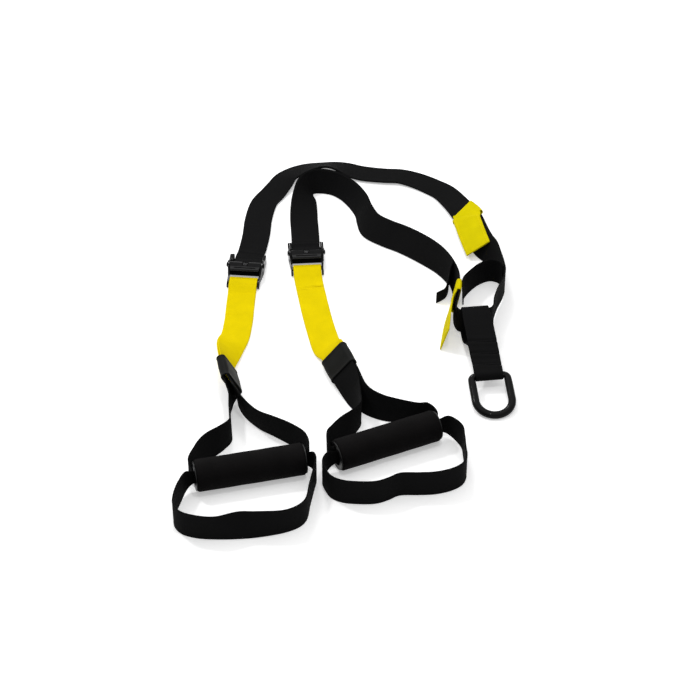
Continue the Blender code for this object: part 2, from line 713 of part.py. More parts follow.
def wire_mesh(points, radius, sides=6, closed=False):
    """A round wire swept along points."""
    bm = bmesh.new()
    count = len(points)
    loops = []
    normal = None
    for i, point in enumerate(points):
        if closed:
            along = (points[(i + 1) % count] - points[i - 1]).normalized()
        else:
            along = (points[min(i + 1, count - 1)] - points[max(i - 1, 0)]).normalized()
        if normal is None:
            normal = along.orthogonal().normalized()
        normal = (normal - along * normal.dot(along)).normalized()
        other = along.cross(normal)
        ring = []
        for k in range(sides):
            angle = math.tau * (k + 0.5) / sides
            outward = normal * math.cos(angle) + other * math.sin(angle)
            ring.append(bm.verts.new(point + outward * radius))
        loops.append(ring)
    join_loops(bm, loops, closed)
    return bm


def cam_spring(side, root, place):
    """Torsion spring on the pin: coils in the lever's slot, one leg down to the ply side, one leg up."""
    coil_radius = PIN_RADIUS + RUNNING_CLEARANCE + SPRING_WIRE / 2
    pitch = SPRING_WIRE * 1.25
    steps_per_turn = 9
    total = SPRING_TURNS * steps_per_turn
    start_angle = math.radians(60)
    points = []
    for i in range(total + 1):
        angle = start_angle + math.tau * i / steps_per_turn
        across = (i / total - 0.5) * pitch * SPRING_TURNS
        points.append(Vector((across, coil_radius * math.cos(angle), coil_radius * math.sin(angle))))
    leg_start = points[0] + Vector((0, math.sin(start_angle), -math.cos(start_angle))) * (SPRING_LEG * 0.45)
    leg_end = points[-1] + Vector((0, -math.sin(start_angle), math.cos(start_angle))) * (SPRING_LEG * 0.35)
    points = [leg_start, *points, leg_end]
    spot = place @ Matrix.Translation((0, PIVOT_AHEAD, PIVOT_HEIGHT))
    add_object(f"{side}_cam_spring", wire_mesh(points, SPRING_WIRE / 2), "bare_steel", root, spot)


def buckle(side, root):
    place = buckle_place(side)
    buckle_frame(side, root, place)
    for name, along, height, radius in (
        ("lower_bar", -BAR_BEHIND, lower_bar_height(), BAR_RADIUS),
        ("turn_bar", -TURN_BAR_BEHIND, turn_bar_height(), TURN_BAR_RADIUS),
        ("cam_pin", PIVOT_AHEAD, PIVOT_HEIGHT, PIN_RADIUS),
    ):
        half_gap = inner_half_width((along + BUCKLE_REACH) / (2 * BUCKLE_REACH))
        if name == "cam_pin":
            pin = headed_pin_mesh(radius, RIVET_RADIUS, half_gap)
        else:
            pin = rod(radius, 2 * (half_gap + SIDE_PLATE))
        spot = place @ Matrix.Translation((0, along, height))
        add_object(f"{side}_{name}", pin, "black_steel", root, spot)
    cam_lever(side, root, place)
    cam_spring(side, root, place)


def buckle_knots(place, side_view):
    """Knots on a buckle's middle line at the given places along it and heights."""
    return [knot_at(place @ Vector((0, along, height)), 0, WEBBING_THICKNESS) for along, height in side_view]


def leg_strap(side, shares, split_end, adjuster_last, tail_shares, root):
    """A leg's one length of webbing: main ply, turn round the buckle's bar, and adjuster ply on top."""
    step = WEBBING_THICKNESS + SEAM_GAP
    place = buckle_place(side)
    low = lower_ply_height()
    knots = buckle_knots(place, [
        (-TURN_BAR_BEHIND, low), (BASE_FRONT * 0.4, low), (BASE_FRONT, low),
        (BUCKLE_REACH * 1.15, (low + WEBBING_THICKNESS / 2) / 2),
    ])
    first_station = len(knots)
    knots += stations(shares)
    knots.append((*(share * LAID_SPAN for share in split_end), *knots[-1][2:]))
    points, starts = curve_through(knots)
    main = floor_frames(points, WEBBING_THICKNESS)
    starts = starts[first_station:]
    leave_at = starts[adjuster_last]
    beside = thinned(main[:leave_at + 1])
    kept_main = beside + thinned(main[leave_at:])[1:]
    adjuster = second_ply(
        beside, step, first_gap=2 * turn_radius(), flat=PLY_FLAT, reach=PLY_REACH, shift=PLY_SHIFT)
    if tail_shares:
        roll = knots[first_station + adjuster_last][3]
        tail_knots = [
            *(knot_at(one[0], roll, WEBBING_THICKNESS) for one in adjuster[-2:]), *stations(tail_shares)]
        tail_points, tail_starts = curve_through(tail_knots)
        tail = floor_frames(tail_points, WEBBING_THICKNESS, level=True)
        adjuster += thinned(tail[tail_starts[1]:])[1:]

    around = arc((-TURN_BAR_BEHIND, turn_bar_height()), turn_radius(), 262, 98, 12)
    turn = carried_on(profile_frames(around, place, lambda along: WEBBING_WIDTH), main[0])
    frames = kept_main[::-1] + turn + flipped(adjuster)
    mesh = ribbon_mesh(frames, WEBBING_THICKNESS, turned_back=len(kept_main))
    add_object(f"{side}_leg_strap", mesh, "black_webbing", root)
    return main, starts


def carried_on(frames, before):
    """Frames whose across and normal vectors are turned, where needed, to carry on from a frame."""
    side = math.copysign(1, frames[0][1].dot(before[1]))
    face = math.copysign(1, frames[0][2].dot(before[2]))
    return [(point, across * side, normal * face, width) for point, across, normal, width in frames]


def yellow_strap(side, root):
    """Two plies of yellow webbing from the sleeve, looped round the buckle's lower bar."""
    place = buckle_place(side)
    radius = BAR_RADIUS + SEAM_GAP + YELLOW_THICKNESS / 2
    bar = lower_bar_height()
    knots = [
        knot_at(place @ Vector((0, -BAR_BEHIND - away, bar - radius)), 0, YELLOW_THICKNESS)
        for away in (0, BAR_RADIUS * 4)
    ]
    knots += stations(YELLOW_SHARES[side])
    knots += [sleeve_knot(side, share * SLEEVE_LENGTH) for share in YELLOW_ENTRY_SHARES]
    points, _ = curve_through(knots)
    lower = thinned(floor_frames(points, YELLOW_THICKNESS, level=True))
    upper = second_ply(lower, YELLOW_THICKNESS + SEAM_GAP, first_gap=2 * radius, reach=PLY_REACH)
    around = arc((-BAR_BEHIND, bar), radius, 278, 442, 12)
    turn = carried_on(profile_frames(around, place, lambda along: WEBBING_WIDTH), lower[0])
    frames = lower[::-1] + turn + flipped(upper)
    mesh = ribbon_mesh(frames, YELLOW_THICKNESS, turned_back=len(lower))
    add_object(f"{side}_yellow_strap", mesh, "yellow_webbing", root)


def sleeve_frame(side):
    """The sleeve's middle, heading, across and normal."""
    spot = SLEEVE_PLACES[side]
    roll = math.radians(spot["roll"])
    bearing = math.radians(spot["bearing"])
    heading = Vector((-math.sin(bearing), -math.cos(bearing), 0))
    half_width, half_thickness = sleeve_inside()
    height = SEAM_GAP + abs(math.sin(roll)) * (half_width + SLEEVE_WALL)
    height += abs(math.cos(roll)) * (half_thickness + SLEEVE_WALL)
    middle = Vector((spot["x_share"] * LAID_SPAN, spot["y_share"] * LAID_SPAN, height))
    across = Vector((heading.y, -heading.x, 0)) * math.cos(roll) + UP * math.sin(roll)
    return middle, heading, across, across.cross(heading), roll


def sleeve_knot(side, distance):
    """A knot of the yellow strap's lower ply inside or near the sleeve."""
    middle, heading, _, normal, roll = sleeve_frame(side)
    off = -(YELLOW_THICKNESS + SEAM_GAP) / 2
    return knot_at(middle + heading * distance + normal * off, roll, YELLOW_THICKNESS)


def handle_ply_offset():
    """How far each handle ply lies from the sleeve's middle, outside the two yellow plies."""
    return YELLOW_THICKNESS + SEAM_GAP * 1.5 + WEBBING_THICKNESS / 2


def sleeve_inside():
    """Half the width and half the thickness of the space inside a sleeve, which holds four plies."""
    half_width = WEBBING_WIDTH / 2 + SLEEVE_CLEARANCE
    half_thickness = handle_ply_offset() + WEBBING_THICKNESS / 2 + SLEEVE_CLEARANCE
    return half_width, half_thickness


def sleeve(side, root):
    middle, heading, across, normal, _ = sleeve_frame(side)
    half_width, half_thickness = sleeve_inside()
    half = SLEEVE_LENGTH / 2
    frames = [(middle + heading * d, across, normal, WEBBING_WIDTH) for d in (-half, half)]
    tube = flat_tube_mesh(frames, half_width, half_thickness, SLEEVE_WALL)
    add_object(f"{side}_sleeve", tube, "sleeve_cloth", root)


def bore_knots(side, end, shares, lateral_sign, roll):
    """Knots from outside a grip's end into its bore; end is -1 on the left and 1 on the right."""
    place = grip_place(side)
    half = GRIP_LENGTH / 2
    knots = []
    for out_share, aside_share, width_share in shares:
        spot = Vector((end * (half + out_share * GRIP_RADIUS), aside_share * GRIP_RADIUS, 0))
        knots.append(knot_at(place @ spot, roll, WEBBING_THICKNESS, width_share * WEBBING_WIDTH))
    for depth_share in BORE_DEPTH_shares:
        spot = Vector((end * (half - depth_share * GRIP_RADIUS), lateral_sign * PLY_APART_IN_BORE, 0))
        knots.append(knot_at(place @ spot, roll, WEBBING_THICKNESS, BORE_WIDTH_share * WEBBING_WIDTH))
    return knots


def handle_webbing(side, root):
    """The triangle: down one leg, through the grip's tube, and up the other leg into the sleeve."""
    middle, heading, _, normal, roll = sleeve_frame(side)
    down, up = HANDLE_LEG_SHARES[side]
    upright = math.copysign(math.radians(90), roll)
    first_side = -1 if roll > 0 else 1
    back_roll = math.copysign(math.pi, roll) - roll

    def in_sleeve(distance_share, hand, roll_here):
        spot = middle + heading * (distance_share * SLEEVE_LENGTH) + normal * (hand * handle_ply_offset())
        return knot_at(spot, roll_here, WEBBING_THICKNESS)

    depths = (-0.30, 0.10, 0.50, 0.66)
    knots = [in_sleeve(share, first_side, roll) for share in depths]
    knots += stations(down)
    knots += bore_knots(side, -1, LEG_TURN_SHARES[side, -1], 1, upright)
    knots += bore_knots(side, 1, LEG_TURN_SHARES[side, 1], 1, upright)[::-1]
    knots += stations(up)
    knots += [in_sleeve(share, -first_side, back_roll) for share in depths[::-1]]
    frames = ribbon_frames(knots, WEBBING_THICKNESS)
    add_object(f"{side}_handle_webbing", ribbon_mesh(frames, WEBBING_THICKNESS), "black_webbing", root)


def foot_cradle(side, root):
    """A closed loop of webbing on edge: through the grip's tube and round the foot's space."""
    upright = math.radians(90)
    knots = bore_knots(side, -1, CRADLE_TURN_SHARES[side, -1], -1, upright)
    knots += bore_knots(side, 1, CRADLE_TURN_SHARES[side, 1], -1, upright)[::-1]
    knots += stations(CRADLE_SHARES[side])
    frames = ribbon_frames(knots, WEBBING_THICKNESS, closed=True)
    mesh = ribbon_mesh(frames, WEBBING_THICKNESS, closed=True)
    add_object(f"{side}_foot_cradle", mesh, "black_webbing", root)


def handle(side, root):
    place = grip_place(side)
    half = GRIP_LENGTH / 2
    rounding = GRIP_ROUNDING
    bore = TUBE_RADIUS + RUNNING_CLEARANCE
    foam = [(bore, -half)]
    foam += [(r, a) for a, r in arc((-half + rounding, GRIP_RADIUS - rounding), rounding, 180, 90, 3)]
    foam += [(r, a) for a, r in arc((half - rounding, GRIP_RADIUS - rounding), rounding, 90, 0, 3)]
    foam.append((bore, half))
    add_object(f"{side}_foam_grip", turned(foam), "foam", root, place)
    inner = TUBE_RADIUS - TUBE_WALL
    tube = [(inner, -half), (TUBE_RADIUS, -half), (TUBE_RADIUS, half), (inner, half)]
    add_object(f"{side}_grip_tube", turned(tube), "black_plastic", root, place)
    plug = inner - RUNNING_CLEARANCE
    face = half + SEAM_GAP
    lip = CAP_FLANGE * 0.4
    for hand, label in ((-1, "outer_cap"), (1, "inner_cap")):
        cap = [
            (CAP_BORE_RADIUS, half - CAP_PLUG), (plug, half - CAP_PLUG), (plug, face),
            (CAP_FLANGE_RADIUS, face), (CAP_FLANGE_RADIUS, face + lip),
            (CAP_FLANGE_RADIUS - lip, face + CAP_FLANGE), (CAP_BORE_RADIUS + lip, face + CAP_FLANGE),
            (CAP_BORE_RADIUS, face + lip),
        ]
        cap = [(radius, hand * along) for radius, along in cap]
        add_object(f"{side}_{label}", turned(cap), "black_plastic", root, place)


def tab(side, wrap_frames, lateral, flap_shares, root):
    """A yellow pull tab: a flat wrap sewn round the strap, and a flap that lifts off it."""
    plies = WEBBING_THICKNESS + abs(lateral)
    half_thickness = plies / 2 + TAB_CLEARANCE
    half_width = WEBBING_WIDTH / 2 + TAB_CLEARANCE + (PLY_SHIFT if lateral else 0)
    middle_frames = []
    for point, across, normal, width in wrap_frames:
        middle_frames.append((point + normal * (lateral / 2), across, normal, width))
    tube = flat_tube_mesh(middle_frames, half_width, half_thickness, TAB_WALL)
    wrap = add_object(f"{side}_tab", tube, "yellow_webbing", root)
    rise = half_thickness + TAB_WALL / 2
    roots = []
    for point, across, normal, _ in (middle_frames[len(middle_frames) // 2], middle_frames[-1]):
        roll = math.asin(max(-1, min(1, across.z)))
        roots.append(knot_at(point + normal * rise, roll, TAB_THICKNESS))
    knots = roots + stations(flap_shares)
    flap_frames = ribbon_frames(knots, TAB_THICKNESS)
    flap = add_object(f"{side}_tab_flap", ribbon_mesh(flap_frames, TAB_THICKNESS), None, root, cutter=True)
    boolean(wrap, flap, "UNION", brushes_itself=True)


def wrap_part(frames, start, length):
    """The stretch of a ribbon's frames that a wrap of the given length covers from a start index."""
    picked = [frames[start]]
    travelled = 0.0
    for before, following in zip(frames[start:], frames[start + 1:]):
        travelled += (following[0] - before[0]).length
        if travelled > length:
            break
        if travelled > length * len(picked) / 5:
            picked.append(following)
    return picked


def anchor_place():
    """The place of the ring's bar over the floor, looking along the anchor webbing to the strap loop."""
    ring_x, ring_y = (share * LAID_SPAN for share in RING_BAR_SHARES)
    loop_x, loop_y = (share * LAID_SPAN for share in LOOP_MIDDLE_SHARES)
    yaw = math.degrees(math.atan2(-(loop_x - ring_x), loop_y - ring_y))
    return place_on_floor(ring_x, ring_y, yaw), math.hypot(loop_x - ring_x, loop_y - ring_y)


def bar_height():
    return ROD_RADIUS + ring_reach() * math.sin(RING_PITCH)


def ring_half_width():
    return RING_INNER_WIDTH / 2 + ROD_RADIUS


def ring_reach():
    return RING_LEG + ring_half_width()


def anchor_strap(root):
    """One closed loop of webbing: round the ring's bar, over, down behind and under the main strap."""
    place, length = anchor_place()
    thick = WEBBING_THICKNESS
    bar = bar_height()
    wrap = ROD_RADIUS + SEAM_GAP + thick / 2
    strap_top = center_height(LOOP_LIFT_share * WEBBING_WIDTH, math.radians(90), thick) + WEBBING_WIDTH / 2
    top = strap_top + LOOP_TOP_CLEARANCE + thick / 2
    far = length + thick / 2 + LOOP_FAR_CLEARANCE
    floor = thick / 2 + SEAM_GAP
    upper = [(along * length, height * top) for along, height in ANCHOR_UPPER_SHARES]
    over = [(length - thick * 2, top), (length + thick, top)]
    down = [(far, top - thick * 2), (far + thick / 4, top * 0.5), (far, thick * 2)]
    under = [(length + thick, floor), (length - thick * 4, floor)]
    lower = [(along * length, height * top) for along, height in ANCHOR_LOWER_SHARES]
    top_line, _ = curve_through([(a, h, 0, 0, 0) for a, h in [(0, bar + wrap), *upper, *over]])
    sewn = []
    for share in ANCHOR_SEWN_SHARES:
        spot = next(point for point in top_line if point[0] >= share * length)
        sewn.append((spot[0], spot[1] - (thick + SEAM_GAP) * 1.15))
    below_bar = [(wrap * 1.6, bar - wrap * 0.25)]
    around = arc((0, bar), wrap, 300, 95, 10)
    side_view = upper + over + down + under + lower + sewn + below_bar + around
    knots = [(along, height, 0, 0, 0) for along, height in side_view]
    points, _ = curve_through(knots, closed=True)
    line = [(point[0], point[1]) for point in points]

    def width_at(along):
        near_bar = min(1, max(0, along / (length * 0.3)))
        near_loop = min(1, max(0, (length - along) / (length * 0.2)))
        share = ANCHOR_NARROW_share + (1 - ANCHOR_NARROW_share) * min(near_bar, near_loop)
        return WEBBING_WIDTH * share

    frames = thinned(profile_frames(line, place, width_at, closed=True))
    mesh = ribbon_mesh(frames, thick, closed=True)
    add_object("anchor_strap", mesh, "black_webbing", root)


def anchor_ring(root):
    """A forged D-ring, its bar in the anchor webbing and its bow resting on the floor."""
    place, _ = anchor_place()
    half = ring_half_width()
    corner = RING_CORNER
    outline = arc((half - corner, -corner), corner, 90, 0, 3)
    outline += [(half, -RING_LEG / 2)]
    outline += arc((0, -RING_LEG), half, 0, -180, 12)
    outline += [(-half, -RING_LEG / 2)]
    outline += arc((-half + corner, -corner), corner, 180, 90, 3)
    points = [Vector((x, y, 0)) for x, y in outline]
    spot = place @ Matrix.Translation((0, 0, bar_height())) @ Matrix.Rotation(RING_PITCH, 4, "X")
    mesh = wire_mesh(points, ROD_RADIUS, sides=ROD_SIDES, closed=True)
    add_object("anchor_ring", mesh, "black_steel", root, spot)


def locking_loop(root):
    """A short strip on edge, sewn across between the two strands above the anchor loop."""
    frames = ribbon_frames(stations(LOCKING_SHARES), WEBBING_THICKNESS)
    add_object("locking_loop", ribbon_mesh(frames, WEBBING_THICKNESS), "black_webbing", root)


def center_on_floor(root):
    """Moves the root so that the box's middle is over the origin and its lowest point on the floor."""
    bpy.context.view_layer.update()
    reach = bpy.context.evaluated_depsgraph_get()
    corners = []
    for thing in bpy.data.objects:
        if thing.type == "MESH" and not thing.hide_render:
            shape = thing.evaluated_get(reach)
            corners += [shape.matrix_world @ vertex.co for vertex in shape.data.vertices]
    low = [min(corner[i] for corner in corners) for i in range(3)]
    high = [max(corner[i] for corner in corners) for i in range(3)]
    root.location = (-(low[0] + high[0]) / 2, -(low[1] + high[1]) / 2, -low[2])
    bpy.context.view_layer.update()


def build():
    clear_scene()
    root = bpy.data.objects.new("trainer_root", None)
    bpy.context.scene.collection.objects.link(root)
    for side in ("left", "right"):
        buckle(side, root)
        yellow_strap(side, root)
        sleeve(side, root)
        handle_webbing(side, root)
        foot_cradle(side, root)
        handle(side, root)
    loop_x, loop_y = LOOP_MIDDLE_SHARES
    half_cut = SEAM_GAP / LAID_SPAN / 2
    main, starts = leg_strap(
        "left", LEFT_LEG_SHARES, (loop_x + half_cut, loop_y), LEFT_TAB_STATION + 1, None, root)
    wrap = wrap_part(main, starts[LEFT_TAB_STATION], TAB_WRAP)
    tab("left", wrap, WEBBING_THICKNESS + SEAM_GAP, TAB_FLAP_SHARES["left"], root)
    main, starts = leg_strap(
        "right", RIGHT_LEG_SHARES, (loop_x - half_cut, loop_y), RIGHT_TAIL_STATION + 1, TAIL_SHARES, root)
    wrap = wrap_part(main, starts[RIGHT_TAIL_STATION + 2], TAB_WRAP)
    tab("right", wrap, 0, TAB_FLAP_SHARES["right"], root)
    locking_loop(root)
    anchor_strap(root)
    anchor_ring(root)
    center_on_floor(root)


build()
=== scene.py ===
"""Looks of a suspension trainer laid out on a pale floor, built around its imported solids.

The straps are drawn again from the same places as the solids, with rounded selvedges, weave, creases and
stitches. Sleeves, grips, caps and the D-ring are drawn finer; the buckles keep their solids.
Metres, +Z up. Layout places are moved into the frame by SHIFT, which is read from a grip's own box.
"""

import math

import bmesh
import bpy
import numpy as np
from mathutils import Matrix, Vector, noise


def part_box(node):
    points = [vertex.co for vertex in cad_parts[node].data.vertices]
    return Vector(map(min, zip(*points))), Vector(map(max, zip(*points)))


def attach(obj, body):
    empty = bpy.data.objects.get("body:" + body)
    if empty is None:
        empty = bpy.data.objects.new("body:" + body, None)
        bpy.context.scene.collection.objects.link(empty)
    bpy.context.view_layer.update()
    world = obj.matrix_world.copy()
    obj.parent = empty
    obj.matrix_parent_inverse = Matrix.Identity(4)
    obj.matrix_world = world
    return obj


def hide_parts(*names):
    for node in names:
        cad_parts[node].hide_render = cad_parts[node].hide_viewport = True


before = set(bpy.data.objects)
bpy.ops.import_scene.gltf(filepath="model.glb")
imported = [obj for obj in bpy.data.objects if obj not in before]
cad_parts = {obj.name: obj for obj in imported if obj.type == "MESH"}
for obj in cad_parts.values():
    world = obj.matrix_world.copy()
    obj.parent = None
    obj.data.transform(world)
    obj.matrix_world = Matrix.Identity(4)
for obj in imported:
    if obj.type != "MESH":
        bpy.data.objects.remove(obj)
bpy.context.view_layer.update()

# Layout span that the shares below follow
LAID_SPAN = 0.500

# Webbing
WEBBING_WIDTH = 0.038
WEBBING_THICKNESS = 0.0016
YELLOW_THICKNESS = 0.0018
SEAM_GAP = 0.0003
PLY_SHIFT = 0.0012
PLY_FLAT = 0.012
PLY_REACH = 0.030
SAMPLE_STEP = 0.0022
CLOSING_GAP = 0.00088
EASE_SAMPLES = 5
TAIL_OVERLAP = 6
LEAST_LENGTH = 1e-9
SELVEDGE = 0.0024
SELVEDGE_LIMIT_share = 0.3
# A strap's section from its edge: inward by a share of the thickness and of the selvedge, then height as a
# share of half the thickness; and its height halfway to the middle and at the middle
SELVEDGE_SHARES = [(0.0, 0.0, 0.0), (0.22, 0.0, 0.66), (0.62, 0.0, 1.0), (0.0, 1.0, 1.0), (0.0, 1.3, 0.88)]
FACE_SHARES = (0.90, 0.92)

# Buckle sizes that the straps follow
BUCKLE_REACH = 0.032
EAR_HEIGHT = 0.0120
EAR_GAP = 0.0223
LUG_START = 0.0150
LUG_THICKNESS = 0.0020
LUG_CORNER = 0.0032
LUG_EDGE = 0.0006
LUG_CORNER_STEPS = 5
LIP_REACH = 0.0055
LIP_HEIGHT = 0.0009
LIP_CORNER = 0.000405
LUG_SHIFT = 0.00102
BASE_PLATE = 0.0020
BASE_FRONT = 0.0240
BASE_MIDDLE = 0.0096
LEG_LANDING = 0.0368
BAR_RADIUS = 0.0030
BAR_BEHIND = 0.0205
YELLOW_LANDING = 0.0120
TURN_BAR_RADIUS = 0.0024
TURN_BAR_BEHIND = 0.0030
# Turns of the straps round their bars, seen from the side: start and end in degrees, and steps
TURN_ARC = (262, 98, 16)
YELLOW_ARC = (278, 442, 16)
ANCHOR_ARC = (300, 95, 10)
LOWER_BAR_HEIGHT = BAR_RADIUS + SEAM_GAP * 2 + YELLOW_THICKNESS
LOWER_PLY_HEIGHT = BASE_PLATE + SEAM_GAP + WEBBING_THICKNESS / 2
TURN_RADIUS = TURN_BAR_RADIUS + SEAM_GAP + WEBBING_THICKNESS / 2
TURN_BAR_HEIGHT = LOWER_PLY_HEIGHT + TURN_RADIUS

# Handles
GRIP_LENGTH = 0.133
GRIP_RADIUS = 0.0200
GRIP_ROUNDING = 0.0030
TUBE_RADIUS = 0.0150
TUBE_WALL = 0.0020
RUNNING_CLEARANCE = 0.0003
CAP_FLANGE = 0.0014
CAP_PLUG = 0.0100
CAP_BORE_RADIUS = 0.0116
CAP_FLANGE_RADIUS = 0.0180
CAP_DISH = 0.00098
CAP_LIP = 0.00056
TURNED_SIDES = 72
SMOOTH_ANGLE = 40
CAP_SMOOTH_ANGLE = 50
CAP_EDGE = 0.00084
CAP_EDGE_ARC = (90, 10, 4)
FOAM_RINGS = 40
FOAM_CORNER_STEPS = 6
# Dents of the foam: scale of the noise and depth
FOAM_DENTS = [(55, 0.00025), (260, 0.00008)]
FOAM_SINK = 0.00015
PLY_APART_IN_BORE = 0.0012

# Sleeves and tabs
SLEEVE_LENGTH = 0.038
SLEEVE_WALL = 0.0016
SLEEVE_CLEARANCE = 0.0008
SLEEVE_CORNER_STEPS = 6
# How far each handle ply lies from the sleeve's middle, outside the two yellow plies; half the space inside
HANDLE_PLY_OFFSET = YELLOW_THICKNESS + SEAM_GAP * 1.5 + WEBBING_THICKNESS / 2
SLEEVE_HALF_WIDTH = WEBBING_WIDTH / 2 + SLEEVE_CLEARANCE
SLEEVE_HALF_THICKNESS = HANDLE_PLY_OFFSET + WEBBING_THICKNESS / 2 + SLEEVE_CLEARANCE
# From a sleeve's middle to its mouth: share of its half length, and what is added to its wall
SLEEVE_SKIN = [
    (0.0, 0.0002), (0.3, 0.0001), (0.6, -0.0001), (0.86, -0.0003), (0.90, 0.0), (0.93, 0.0001), (0.985, 0.0),
    (1.0, -0.0006),
]
TUBE_CORNER_share = 0.86
TAB_WRAP = 0.024
TAB_WALL = 0.0010
TAB_THICKNESS = 0.0020
TAB_CLEARANCE = 0.0009
TAB_CORNER_STEPS = 4
WRAP_STEPS = 5
TAB_SEAM_START_share = 0.7
LEFT_TAB_SLANT = math.radians(32)
LEFT_TAB_SAMPLES = 3
RIGHT_TAB_SLACK = 0.0016

# Anchor and D-ring
ROD_RADIUS = 0.0045
RING_SWELL = 0.0051
RING_FLAT = 0.88
ROD_SIDES = 20
RING_CORNER_STEPS = 8
RING_BOW_STEPS = 40
RING_BAR_STEPS = 10
RING_INNER_WIDTH = 0.0375
RING_CORNER = 0.0060
RING_LEG = 0.038
RING_PITCH = math.radians(13.5)
RING_HALF_WIDTH = RING_INNER_WIDTH / 2 + ROD_RADIUS
BAR_HEIGHT = ROD_RADIUS + (RING_LEG + RING_HALF_WIDTH) * math.sin(RING_PITCH)
LOOP_TOP_CLEARANCE = 0.0006
LOOP_FAR_CLEARANCE = 0.0056

# Stitches
THREAD_RADIUS = 0.00032
STITCH_PITCH = 0.0030
STITCH_LENGTH_share = 0.76
STITCH_FLATNESS = 1.25
STITCH_SIDES = 6
# Sections of a stitch: share of its length from its middle, then size and depth in thread radii
STITCH_SECTIONS = [
    (-0.5, 0.45, 0.9), (-0.32, 0.95, 0.15), (0.0, 1.1, 0.0), (0.32, 0.95, 0.15), (0.5, 0.45, 0.9),
]
HEM = 0.0035
END_ROWS_APART = 0.0028
YELLOW_ROWS_APART = 0.004
YELLOW_MARGIN = 0.002
TACK_PITCH = 0.0021
TACK_ROWS_APART = 0.0011
TACK_SINK = 0.0002
TACK_DEPTH = 0.0011
TACK_REACH = 0.0015
TACK_SLANT = 0.10
TACK_SWELL = 0.0007
TACK_SWELL_REACH = 0.0022
TACK_SWELL_ASIDE = 0.0045

# Camera and light
CAMERA_BACK = 1.9917
CAMERA_HEIGHT = 1.6712
CAMERA_TILT = math.radians(50)
CAMERA_LENS = 102.3

# Places on the floor: x and y as shares of the laid span, and yaw; for a sleeve, its bearing and roll
BUCKLE_PLACES = {"left": (-0.285, 0.320, -5.2), "right": (-0.120, 0.376, 3.8)}
GRIP_PLACES = {"left": (-0.242, -0.488, 13.3), "right": (0.090, -0.392, 24.3)}
SLEEVE_PLACES = {"left": (-0.307, -0.152, -12, 64), "right": (-0.028, -0.098, -20, -45)}
LOOP_MIDDLE_SHARES = (0.3276, 0.0710)
RING_BAR_SHARES = (0.354, -0.146)
# Ribbon stations: x and y as shares of the laid span, roll in degrees, then lift and width as shares of
# the webbing width, where they aren't plain. A roll over 0 raises the edge on the right-hand side of the
# heading.
LOOP_LIFT = 0.058
LEFT_LEG_SHARES = [
    (-0.272, 0.428), (-0.264, 0.500), (-0.260, 0.576), (-0.246, 0.654), (-0.226, 0.692),
    (-0.206, 0.730, 5), (-0.184, 0.770, 13), (-0.138, 0.803, 18), (-0.074, 0.816, 26),
    (-0.022, 0.815, 13), (0.030, 0.797, 4), (0.098, 0.784, 4), (0.146, 0.780, 4), (0.192, 0.762, 2),
    (0.240, 0.730), (0.272, 0.700, -2), (0.299, 0.652, -5, 0.02), (0.316, 0.612, -8, 0.055),
    (0.328, 0.580, -12, 0.06), (0.338, 0.544, -19, 0.06), (0.350, 0.490, -31), (0.362, 0.440, -43),
    (0.375, 0.404, -55), (0.391, 0.374, -70), (0.405, 0.334, -84), (0.416, 0.282, -90),
    (0.417, 0.244, -90, 0.02), (0.408, 0.206, -90, 0.05), (0.391, 0.160, -90, LOOP_LIFT),
    (0.380, 0.118, -90, LOOP_LIFT), (0.378, 0.096, -90, LOOP_LIFT), (0.370, 0.080, -90, LOOP_LIFT),
    (0.350, 0.0736, -90, LOOP_LIFT),
]
LEFT_TAB_STATION = 17
RIGHT_LEG_SHARES = [
    (-0.126, 0.480), (-0.129, 0.530), (-0.132, 0.576, -7), (-0.132, 0.640, -30), (-0.129, 0.682, -60),
    (-0.114, 0.706, -77), (-0.090, 0.713, -78), (-0.050, 0.704, -78), (-0.018, 0.680, -75),
    (0.006, 0.650, -70), (0.023, 0.620, -67), (0.035, 0.590, -65), (0.043, 0.552, -60),
    (0.060, 0.508, -50), (0.104, 0.470, -50), (0.148, 0.442, -50), (0.214, 0.380, -60),
    (0.252, 0.330, -72), (0.274, 0.282, -79, 0.03), (0.284, 0.240, -79, 0.05),
    (0.286, 0.196, -79, LOOP_LIFT), (0.283, 0.150, -80, LOOP_LIFT), (0.279, 0.114, -84, LOOP_LIFT),
    (0.278, 0.088, -90, LOOP_LIFT), (0.287, 0.0710, -90, LOOP_LIFT), (0.304, 0.0688, -90, LOOP_LIFT),
]
RIGHT_TAIL_STATION = 17
RIGHT_TAB_STATION = 20
TAIL_SHARES = [
    (0.268, 0.262, -86, -0.04, 0.92), (0.264, 0.236, -88, -0.16, 0.68), (0.256, 0.216, -88, -0.25, 0.5),
    (0.244, 0.204, -88, -0.25, 0.5), (0.232, 0.195, -88, -0.25, 0.5),
]
LOCKING_SHARES = [
    (0.3010, 0.188, -86), (0.305, 0.214, -88), (0.325, 0.247, -90), (0.350, 0.275, -90),
    (0.380, 0.291, -90), (0.403, 0.283, -90), (0.4130, 0.262, -90),
]
YELLOW_SHARES = {
    "left": [(-0.294, 0.182), (-0.296, 0.114), (-0.302, 0.048, 4), (-0.313, -0.012, 30)],
    "right": [(-0.096, 0.182), (-0.084, 0.114), (-0.071, 0.048, -5), (-0.059, -0.010, -24)],
}
# Places of the plies' knots in the sleeve, from its middle, as shares of the sleeve's length
YELLOW_ENTRY_SHARES = (-0.70, -0.50, -0.10, 0.24)
HANDLE_ENTRY_SHARES = (-0.30, 0.10, 0.50, 0.66)
